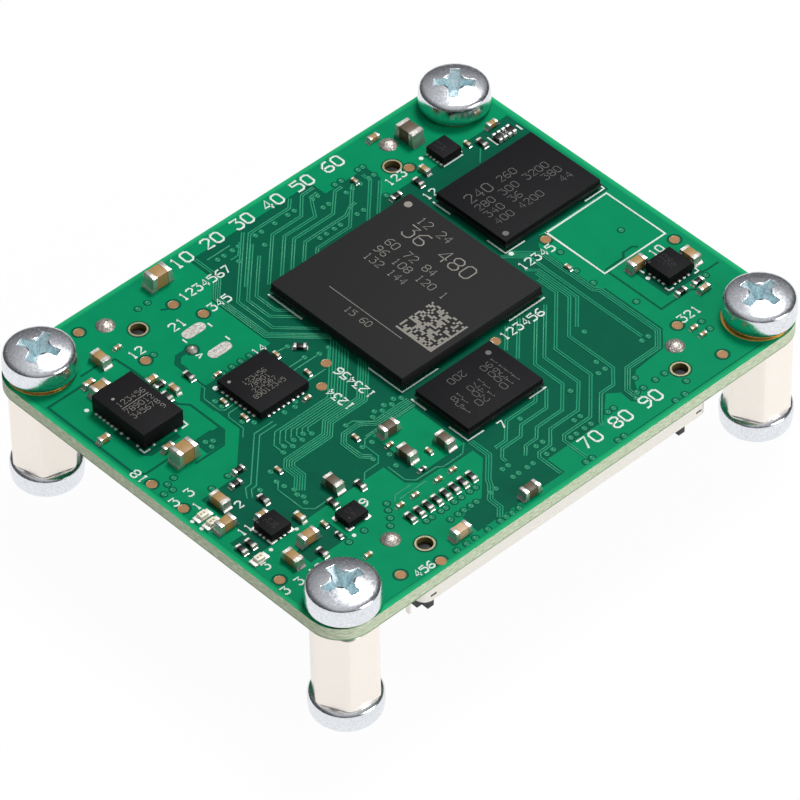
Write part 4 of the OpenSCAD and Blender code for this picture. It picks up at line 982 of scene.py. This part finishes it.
# Ball-grid packages: processor, memory and flash, each a black moulded block on a thin laminate that is
# soldered down on balls. The top carries a pin 1 dot and faint laser marks, here plain figures.
processor_mold = grainy("processor_mold", paint(42, 42, 43), scale=4200.0, contrast=0.18, roughness=0.6,
                        spread=0.1, bump=0.000006, Specular_IOR_Level=0.07)
mold = grainy("mold_compound", paint(26, 26, 28), scale=4200.0, contrast=0.2, roughness=0.55, spread=0.1,
              bump=0.000006, Specular_IOR_Level=0.07)
substrate = grainy("package_substrate", paint(28, 30, 28), scale=1800.0, contrast=0.2, roughness=0.5,
                   spread=0.1, Specular_IOR_Level=0.3)
mark = grainy("laser_mark", paint(148, 145, 137), scale=4000.0, contrast=0.2, roughness=0.6, spread=0.1,
              Specular_IOR_Level=0.1)
faint_mark = grainy("faint_laser_mark", paint(112, 112, 110), scale=4000.0, contrast=0.2, roughness=0.6,
                    spread=0.1, Specular_IOR_Level=0.1)


def block_mesh(name, length, width, height, bevel, segments=2):
    """A block with rounded edges, its foot at z 0, in millimetres."""
    mesh = bmesh.new()
    bmesh.ops.create_cube(mesh, size=1.0)
    bmesh.ops.scale(mesh, verts=mesh.verts, vec=(length * MM, width * MM, height * MM))
    bmesh.ops.translate(mesh, verts=mesh.verts, vec=(0, 0, height * MM / 2))
    bmesh.ops.bevel(mesh, geom=list(mesh.edges), offset=bevel * MM, segments=segments, profile=0.6,
                    affect="EDGES", clamp_overlap=True)
    return mesh_data(name, mesh, 25.0)


def block_in_box(node, bevel, name):
    """A rounded block that fills a node's box."""
    low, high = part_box(node)
    size = (high - low) / MM
    data = block_mesh(name, size.x, size.y, size.z, bevel)
    data.transform(Matrix.Translation(((low.x + high.x) / 2, (low.y + high.y) / 2, low.z)))
    return as_object(name, data)


def join(name, objects):
    """One object from the meshes of several."""
    mesh = bmesh.new()
    for made in objects:
        mesh.from_mesh(made.data)
        bpy.data.objects.remove(made)
    return as_object(name, close_mesh(name, mesh))


mark_height = 0.008
mark_step = 0.0002
mark_line = 0.06


def chip_marks(name, node, finish, texts, dot, lines=(), cells=()):
    """Figures (text, x, y, height, turn) from a package's middle, its pin 1 dot, lines and squares."""
    low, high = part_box(node)
    x0, y0 = (low.x + high.x) / 2 / MM, (low.y + high.y) / 2 / MM
    made = []
    for text, x, y, height, turn in texts:
        strokes = number_lines(text, x0 + x, y0 + y, height, turn)
        stroke_width = 0.09 * height
        made.append(draw_lines(name + "_row", strokes, high.z, mark_step, stroke_width, mark_height, finish))
    if lines:
        moved = [[(x0 + x, y0 + y) for x, y in points] for points in lines]
        made.append(draw_lines(name + "_lines", moved, high.z, 0.0, mark_line, mark_height, finish))
    x, y, size = dot
    made.append(set_out_parts(name + "_dot", dot_part, [
        ((x0 + x) * MM, (y0 + y) * MM, high.z, level, (size, size, mark_height), 0.0)], finish))
    if cells:
        cell_foot = high.z - mark_height * MM / 2
        made.append(set_out_parts(name + "_cells", block_mesh("cell", 1.0, 1.0, 1.0, 0.1), [
            ((x0 + x) * MM, (y0 + y) * MM, cell_foot, level, (size, size, mark_height), 0.0)
            for x, y, size in cells], finish))
    settle(join(name, made), finish)


def matrix_cells(x, y, pitch, count):
    """A square field of cells, full along two sides and scattered inside, that says nothing."""
    scatter = random.Random(7)
    return [(x + i * pitch, y + j * pitch, pitch * 0.95) for i in range(count) for j in range(count)
            if i == 0 or j == 0 or scatter.random() < 0.48]


for chip in ("processor", "memory", "flash"):
    settle(block_in_box(chip + "_mold", 0.05, chip + "_block"),
           processor_mold if chip == "processor" else mold, [chip + "_mold"])
    settle(block_in_box(chip + "_substrate", 0.02, chip + "_laminate"), substrate,
           [chip + "_substrate"])
    dress(chip + "_balls", solder)
chip_marks("processor_marks", "processor_mold", mark, [
    ("12 24", 5.48, 4.69, 0.8, -90), ("36 480", 3.68, 4.64, 1.4, -90), ("60 72 84", 2.03, 4.69, 0.75, -90),
    ("96 108 120 1", 0.88, 4.69, 0.72, -90), ("132 144", -0.27, 4.69, 0.72, -90),
    ("15 60", -5.45, 1.3, 0.62, -90)],
    (6.43, 6.59, 0.7), [[(-4.42, 3.99), (-4.42, -4.21)]], matrix_cells(-3.75, -6.75, 0.2, 20))
chip_marks("memory_marks", "memory_mold", faint_mark, [
    ("240", -4.1, 1.09, 1.0, 0), ("260", -0.64, 1.25, 0.7, 0), ("280 300 3200", -4.2, 0.0, 0.7, 0),
    ("340 36", -4.2, -1.05, 0.7, 0), ("380", 2.06, -1.05, 0.7, 0), ("400 4200", -4.2, -2.15, 0.7, 0),
    ("44", 2.9, -2.15, 0.7, 0)], (-4.54, -3.26, 0.55))
chip_marks("flash_marks", "flash_mold", faint_mark, [
    ("110 120 1", 2.77, -1.07, 0.7, 180), ("130 140 15", 2.77, -0.27, 0.62, 180),
    ("160 170 18", 2.77, 0.43, 0.6, 180), ("190", 2.77, 1.33, 0.6, 180), ("200", 0.1, 2.05, 0.65, 180)],
    (2.92, 2.03, 0.5))


# Leadless packages: black moulded bodies sawn apart on a plated frame. Their lands are flush with the
# underside, and solder wets up from the board against the sides.
# Tin for lands and terminals, near white and only a little metallic: a painted reflection that keeps them
# bright where they stand in shade
tin_with_painted_reflection = grainy("tin_with_painted_reflection", paint(250, 248, 242), scale=2600.0, contrast=0.12, roughness=0.35,
                    spread=0.1, Metallic=0.35)
fillet_part = block_mesh("land_fillet", 1.0, 1.0, 1.0, 0.22, 3)
# How much of a land's reach past the body the solder leaves bare
land_setback = 0.4
fillet_height = 0.1
for chip in ("controller", "power_module", "termination_regulator", "memory_regulator", "load_switch",
             "oscillator"):
    settle(block_in_box(chip + "_body", 0.04, chip + "_block"), mold, [chip + "_body"])
    places = []
    body_low, body_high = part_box(chip + "_body")
    for points in solids(chip + "_lands"):
        sides = []
        for axis in (0, 1):
            low, high = min(p[axis] for p in points), max(p[axis] for p in points)
            low += max(body_low[axis] - low, 0) * land_setback
            high -= max(high - body_high[axis], 0) * land_setback
            sides.append(((low + high) / 2, (high - low) / MM))
        (x, length), (y, width) = sides
        places.append((x, y, board_top, level, (length, width, fillet_height), 0.0))
    settle(set_out_parts(chip + "_solder", fillet_part, places, tin_with_painted_reflection),
           replaced=[chip + "_lands"])
chip_marks("controller_marks", "controller_body", mark, [
    ("123456", -1.3, 0.62, 0.43, 0), ("78901", -1.1, 0.03, 0.43, 0), ("234567", -1.3, -0.56, 0.43, 0),
    ("89012345", -1.7, -1.15, 0.43, 0)], (-1.95, 1.7, 0.3))
chip_marks("power_module_marks", "power_module_body", mark, [
    ("123456", -1.3, 0.55, 0.5, 0), ("789012", -1.3, -0.42, 0.5, 0), ("345678", -1.3, -1.15, 0.5, 0),
    ("9", 1.1, -1.8, 0.45, 0)], (-1.08, 1.58, 0.28), [[(-1.3, 0.28), (1.4, 0.28)]])
dim_mark = grainy("dim_laser_mark", paint(74, 74, 74), scale=4000.0, contrast=0.2, roughness=0.6,
                  spread=0.1, Specular_IOR_Level=0.1)
for chip, rows, dot in (
        ("termination_regulator", [("12", -0.5, 0.35, 0.4, 0), ("34", -0.5, -0.25, 0.4, 0)],
         (-1.0, 1.0, 0.2)),
        ("memory_regulator", [("123", -0.6, 0.6, 0.4, 0), ("456", -0.6, 0.0, 0.4, 0),
                              ("78", -0.4, -0.6, 0.4, 0)], (-1.1, 1.1, 0.2)),
        ("load_switch", [("24", -0.4, 0.2, 0.4, 0), ("36", -0.4, -0.45, 0.4, 0)], (-0.8, 0.8, 0.2)),
        ("oscillator", [("12", -0.4, 0.1, 0.35, 0), ("5", -0.2, -0.45, 0.35, 0)], (-0.6, -0.4, 0.15))):
    chip_marks(chip + "_marks", chip + "_body", dim_mark, rows, dot)


# Chip components: ceramic capacitors and thick-film resistors, fired blocks with tinned caps at both
# ends. Solder joins the caps to their pads and climbs up them.
def chip_places(bodies, terminals):
    """Where each chip of a kind stands: its middle, its turn and the middles of its two caps."""
    caps = [Vector(middle_of(points)) for points in solids(terminals)]
    found = []
    for points in solids(bodies):
        middle = Vector(middle_of(points))
        near = sorted(caps, key=lambda cap: (cap.xy - middle.xy).length)[:2]
        axis = (near[1].xy - near[0].xy).normalized()
        if axis.x < -1e-6 or (abs(axis.x) <= 1e-6 and axis.y < 0):
            axis = -axis
        found.append((middle, math.atan2(axis.y, axis.x), near))
    return found


def local_size(points, turn):
    """The length, width and height of some points seen along a turned axis."""
    spin = Matrix.Rotation(-turn, 3, "Z")
    moved = [spin @ p for p in points]
    return [max(p[i] for p in moved) - min(p[i] for p in moved) for i in range(3)]


def cap_mesh(length, width, height):
    """An end cap in millimetres, its outer face towards +X, with solder sloping down to the pad."""
    mesh = bmesh.new()
    run = min(0.35 * height, 0.22)
    end = length / 2
    profile = [(-end, 0.0), (end + run, 0.0), (end + run, 0.03), (end + run * 0.45, height * 0.14),
               (end + run * 0.12, height * 0.36), (end, height * 0.62), (end, height * 0.92),
               (end - height * 0.08, height), (-end, height)]
    sides = [[mesh.verts.new((x * MM, s * width / 2 * MM, z * MM)) for x, z in profile] for s in (-1, 1)]
    count = len(profile)
    for i in range(count):
        j = (i + 1) % count
        mesh.faces.new((sides[0][i], sides[0][j], sides[1][j], sides[1][i]))
    mesh.faces.new(sides[0][::-1])
    mesh.faces.new(sides[1])
    long_edges = [e for e in mesh.edges if abs(e.verts[0].co.y - e.verts[1].co.y) < 1e-9]
    bmesh.ops.bevel(mesh, geom=long_edges, offset=0.03 * MM, segments=2, profile=0.6, affect="EDGES",
                    clamp_overlap=True)
    return mesh_data("cap", mesh, 40.0)


body_lift = 0.02


def chip_set(kind, body_finish, up=1.0):
    """The bodies and caps of a kind of chip component, on the top of the board or, with up -1, under it."""
    bodies, terminals = kind + "_bodies", kind + "_terminals"
    places = chip_places(bodies, terminals)
    _, first_turn, first_caps = places[0]
    cap_points = min(solids(terminals),
                     key=lambda points: (Vector(middle_of(points)) - first_caps[0]).length)
    length, width, height = [c / MM for c in local_size(solids(bodies)[0], first_turn)]
    cap_size = [c / MM for c in local_size(cap_points, first_turn)]
    foot = board_top if up > 0 else board_bottom
    flip = 0.0 if up > 0 else math.pi
    part = block_mesh("chip", length, width, height, min(0.06, height * 0.12))
    body_list, cap_list = [], []
    for middle, turn, caps in places:
        tone = ceramic_tone(middle.x / MM, middle.y / MM)
        body_list.append((middle.x, middle.y, foot + up * body_lift * MM, (flip, 0, turn), full, tone))
        for cap in caps:
            away = cap.xy - middle.xy
            cap_list.append((cap.x, cap.y, foot, (flip, 0, math.atan2(away.y, away.x)), full, tone))
    settle(set_out_parts(bodies, part, body_list, body_finish), replaced=[bodies])
    settle(set_out_parts(kind + "_caps", cap_mesh(*cap_size), cap_list, tinned),
           replaced=[terminals])


def ceramic_finish():
    """Fired ceramic: tan at tone 0, dark brown at 1, black at 2, pinkish at -1."""
    made, tree, shader = new_material("capacitor_ceramic", Specular_IOR_Level=0.4)
    tone = add(tree, "ShaderNodeAttribute", attribute_name="tone").outputs["Fac"]
    base = blend(tree, tone, paint(170, 133, 80), paint(92, 78, 58))
    base = blend(tree, compute(tree, "SUBTRACT", tone, 1.0), base, paint(28, 28, 30))
    base = blend(tree, compute(tree, "MULTIPLY", tone, -1.0), base, paint(206, 174, 138))
    out = place_grain(tree, base, scale=3000.0, contrast=0.12, roughness=0.42, spread=0.1)
    feed(tree, shader.inputs["Base Color"], out["Colour"])
    feed(tree, shader.inputs["Roughness"], out["Roughness"])
    return made


tinned = grainy("tinned_cap", paint(206, 203, 196), scale=3400.0, contrast=0.2, roughness=0.32,
                spread=0.12, bump=0.00002, Metallic=0.75)
ceramic = ceramic_finish()
glaze = grainy("resistor_glaze", paint(22, 22, 24), scale=3000.0, contrast=0.2, roughness=0.35,
               spread=0.1, Specular_IOR_Level=0.3)
# The chips of another ceramic: where they stand and their tone
other_ceramics = [
    (-14.35, -7.9, 1.0), (-7.3, -6.5, 1.0), (-8.15, -9.4, 1.0), (-5.15, -10.4, 1.0), (-4.2, -18.75, 1.0),
    (16.75, 16.7, 1.0), (-10.95, -18.25, -1.0), (21.1, -12.1, -1.0), (-17.6, -12.0, 2.0),
    (-8.35, -11.3, 2.0),
]


def ceramic_tone(x, y):
    """The tone of the chip at a place."""
    near = [tone for a, b, tone in other_ceramics if math.hypot(x - a, y - b) < 0.5]
    return near[0] if near else 0.0


for kind in ("bulk_capacitor", "filter_capacitor", "bypass_capacitor", "tiny_capacitor"):
    chip_set(kind, ceramic)
chip_set("resistor", glaze)
settle(block_in_box("resistor_array_body", 0.03, "resistor_array_block"), glaze,
       ["resistor_array_body"])
array_low, array_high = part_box("resistor_array_body")
array_figures = number_lines("12", (array_low.x + array_high.x) / 2 / MM - 0.35,
                             array_low.y / MM + 0.12, 0.36, 0)
settle(draw_lines("resistor_array_figures", array_figures, array_high.z, 0.0, mark_line, mark_height, ink))


def softened(node, bevel):
    """A copy of a CAD node with its sharp edges rounded, in millimetres."""
    mesh = bmesh.new()
    mesh.from_mesh(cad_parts[node].data)
    bmesh.ops.remove_doubles(mesh, verts=mesh.verts, dist=1e-7)
    bmesh.ops.dissolve_limit(mesh, angle_limit=math.radians(1), verts=mesh.verts, edges=mesh.edges)
    sharp = [e for e in mesh.edges if len(e.link_faces) == 2 and e.calc_face_angle(0.0) > math.radians(30)]
    bmesh.ops.bevel(mesh, geom=sharp, offset=bevel * MM, segments=2, profile=0.6, affect="EDGES",
                    clamp_overlap=True)
    return as_object(node + "_rounded", mesh_data(node + "_rounded", mesh, 25.0))


settle(softened("resistor_array_terminals", 0.03), tin_with_painted_reflection,
       ["resistor_array_terminals"])


# Indicator lamps: small white mouldings, each with a light-emitting chip under clear resin. Their tinned
# ends are soldered to the board.
lamp_resin = grainy("lamp_resin", paint(238, 234, 214), scale=2500.0, contrast=0.06, roughness=0.3,
                    spread=0.05)
lamp_die = grainy("lamp_die", paint(168, 132, 62), scale=2500.0, contrast=0.15, roughness=0.4, spread=0.1)
settle(softened("indicator_lamp_bodies", 0.04), lamp_resin, ["indicator_lamp_bodies"])
settle(softened("indicator_lamp_terminals", 0.04), tin_with_painted_reflection,
       ["indicator_lamp_terminals"])
lamp_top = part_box("indicator_lamp_bodies")[1].z
die_size = (0.2, 0.16, 0.01)
die_places = [((x + shift) * MM, y * MM, lamp_top - 0.005 * MM, level, die_size, 0.0)
              for x, y in {(round(x, 2), round(y, 2)) for x, y in centres("indicator_lamp_bodies")}
              for shift in (-0.14, 0.14)]
settle(set_out_parts("lamp_dies", dot_part, sorted(die_places), lamp_die))


# Board-to-board connectors under the two long edges: a black moulded housing with two rows of gilt
# contacts inside a stamped shield, whose lock pins are soldered through the board.
plastic = grainy("connector_plastic", paint(34, 34, 36), scale=1500.0, contrast=0.15, roughness=0.45,
                 spread=0.08, Specular_IOR_Level=0.3)
shield = grainy("connector_shield", paint(240, 236, 228), scale=900.0, contrast=0.04, roughness=0.32,
                spread=0.08, Metallic=0.75)
contact = grainy("contact_gold", paint(224, 188, 110), scale=1500.0, contrast=0.1, roughness=0.3,
                 spread=0.08, Metallic=1.0)
for side in ("front", "rear"):
    for part, bevel, slot, finish in (("housing", 0.04, "connector_plastic", plastic),
                                      ("shield", 0.03, "connector_shield", shield)):
        node = side + "_connector_" + part
        settle(softened(node, bevel), finish, [node])
    dress(side + "_connector_contacts", contact)


# Underside parts: two leadless chips, decoupling capacitors under the processor and a ferrite inductor,
# all soldered to the board's lower face.
chip_set("underside_capacitor", ceramic, up=-1.0)
settle(softened("underside_chip_bodies", 0.04), mold, ["underside_chip_bodies"])
dress("underside_chip_lands", tin_with_painted_reflection)
ferrite = grainy("ferrite", paint(58, 56, 54), scale=2500.0, contrast=0.2, roughness=0.6, spread=0.1)
settle(softened("underside_inductor_body", 0.08), ferrite, ["underside_inductor_body"])
settle(softened("underside_inductor_terminals", 0.03), tinned,
       ["underside_inductor_terminals"])


# Studio: a white paper floor under the feet, a room with dark walls at both sides that grows lighter
# overhead, and two round softboxes, with the camera where the photograph was taken from.
floor_half = 20.0
floor_mesh = bpy.data.meshes.new("floor")
floor_mesh.from_pydata(
    [(sx * floor_half, sy * floor_half, cad_box[0][2]) for sx, sy in ((-1, -1), (1, -1), (1, 1), (-1, 1))],
    [], [(0, 1, 2, 3)])
floor = as_object("floor", floor_mesh)


def floor_finish():
    """White paper that is white where it is seen or mirrored, takes the shadow, and is clear from below."""
    made = bpy.data.materials.new("white_paper")
    made.use_nodes = True
    tree = made.node_tree
    tree.nodes.clear()
    path = add(tree, "ShaderNodeLightPath").outputs
    shown = compute(tree, "ADD", path["Is Camera Ray"], path["Is Glossy Ray"])
    shown = compute(tree, "MINIMUM", compute(tree, "ADD", shown, path["Is Transmission Ray"]), 1.0)
    paper = add(tree, "ShaderNodeBsdfDiffuse", {"Color": (0.9, 0.9, 0.9, 1.0)})
    glow = add(tree, "ShaderNodeEmission", {"Color": (1.0, 1.0, 1.0, 1.0), "Strength": 1.0})
    share = compute(tree, "MULTIPLY", shown, 0.97)
    mixed = add(tree, "ShaderNodeMixShader", {0: share, 1: paper.outputs[0], 2: glow.outputs[0]})
    beneath = add(tree, "ShaderNodeNewGeometry").outputs["Backfacing"]
    clear = add(tree, "ShaderNodeBsdfTransparent")
    sheet = add(tree, "ShaderNodeMixShader", {0: beneath, 1: mixed.outputs[0], 2: clear.outputs[0]})
    add(tree, "ShaderNodeOutputMaterial", {"Surface": sheet.outputs[0]})
    return made


floor_mesh.materials.append(floor_finish())

world = bpy.data.worlds.new("studio")
bpy.context.scene.world = world
world.use_nodes = True
sky = world.node_tree
heading = add(sky, "ShaderNodeTexCoord").outputs["Generated"]
height = add(sky, "ShaderNodeSeparateXYZ", {0: heading}).outputs["Z"]
rise = add(sky, "ShaderNodeMapRange", {"Value": height, "From Min": 0.05, "From Max": 0.95},
           interpolation_type="SMOOTHSTEP")
room = blend(sky, rise.outputs[0], (0.07, 0.07, 0.075, 1.0), (0.56, 0.56, 0.57, 1.0))
across = add(sky, "ShaderNodeVectorMath", {0: heading, 1: (0.737, -0.676, 0.0)}, operation="DOT_PRODUCT")
walls = add(sky, "ShaderNodeMapRange", {
    "Value": compute(sky, "ABSOLUTE", across.outputs["Value"]), "From Min": 0.3, "From Max": 0.65,
    "To Max": 0.75}, interpolation_type="SMOOTHSTEP")
room = blend(sky, walls.outputs[0], room, (0.03, 0.03, 0.033, 1.0))
feed(sky, sky.nodes["Background"].inputs["Color"], room)
sky.nodes["Background"].inputs["Strength"].default_value = 1.0


def softbox(name, heading, distance, size, brightness):
    """A round soft light that faces the object. brightness is what it adds to a white level surface."""
    light = bpy.data.lights.new(name, "AREA")
    light.shape = "DISK"
    light.size = size
    place = Vector(heading).normalized() * distance
    light.energy = brightness * math.pi ** 2 * distance ** 2 / max(Vector(heading).normalized().z, 0.1)
    lamp = as_object(name, light)
    lamp.location = place
    lamp.rotation_euler = (-place).to_track_quat("-Z", "Y").to_euler()


softbox("key_softbox", heading=(0.424, 0.179, 0.887), distance=0.8, size=0.25, brightness=0.6)
softbox("side_softbox", heading=(0.30, -0.85, 0.35), distance=1.0, size=0.60, brightness=0.15)

camera_place = Vector((-239.705, -261.202, 350.772)) * MM
look_azimuth = math.radians(42.528)
look_down = math.radians(44.238)
camera_roll = math.radians(-1.063)
camera_data = bpy.data.cameras.new("camera")
camera_data.sensor_width = 36.0
camera_data.lens = 285.888
camera_data.clip_start = 0.01
camera = as_object("camera", camera_data)
camera.location = camera_place
level_turn = Euler((math.pi / 2 - look_down, 0, -look_azimuth)).to_matrix()
camera.rotation_euler = (level_turn @ Matrix.Rotation(camera_roll, 3, "Z")).to_euler()
bpy.context.scene.camera = camera
bpy.context.scene.view_settings.view_transform = "Standard"
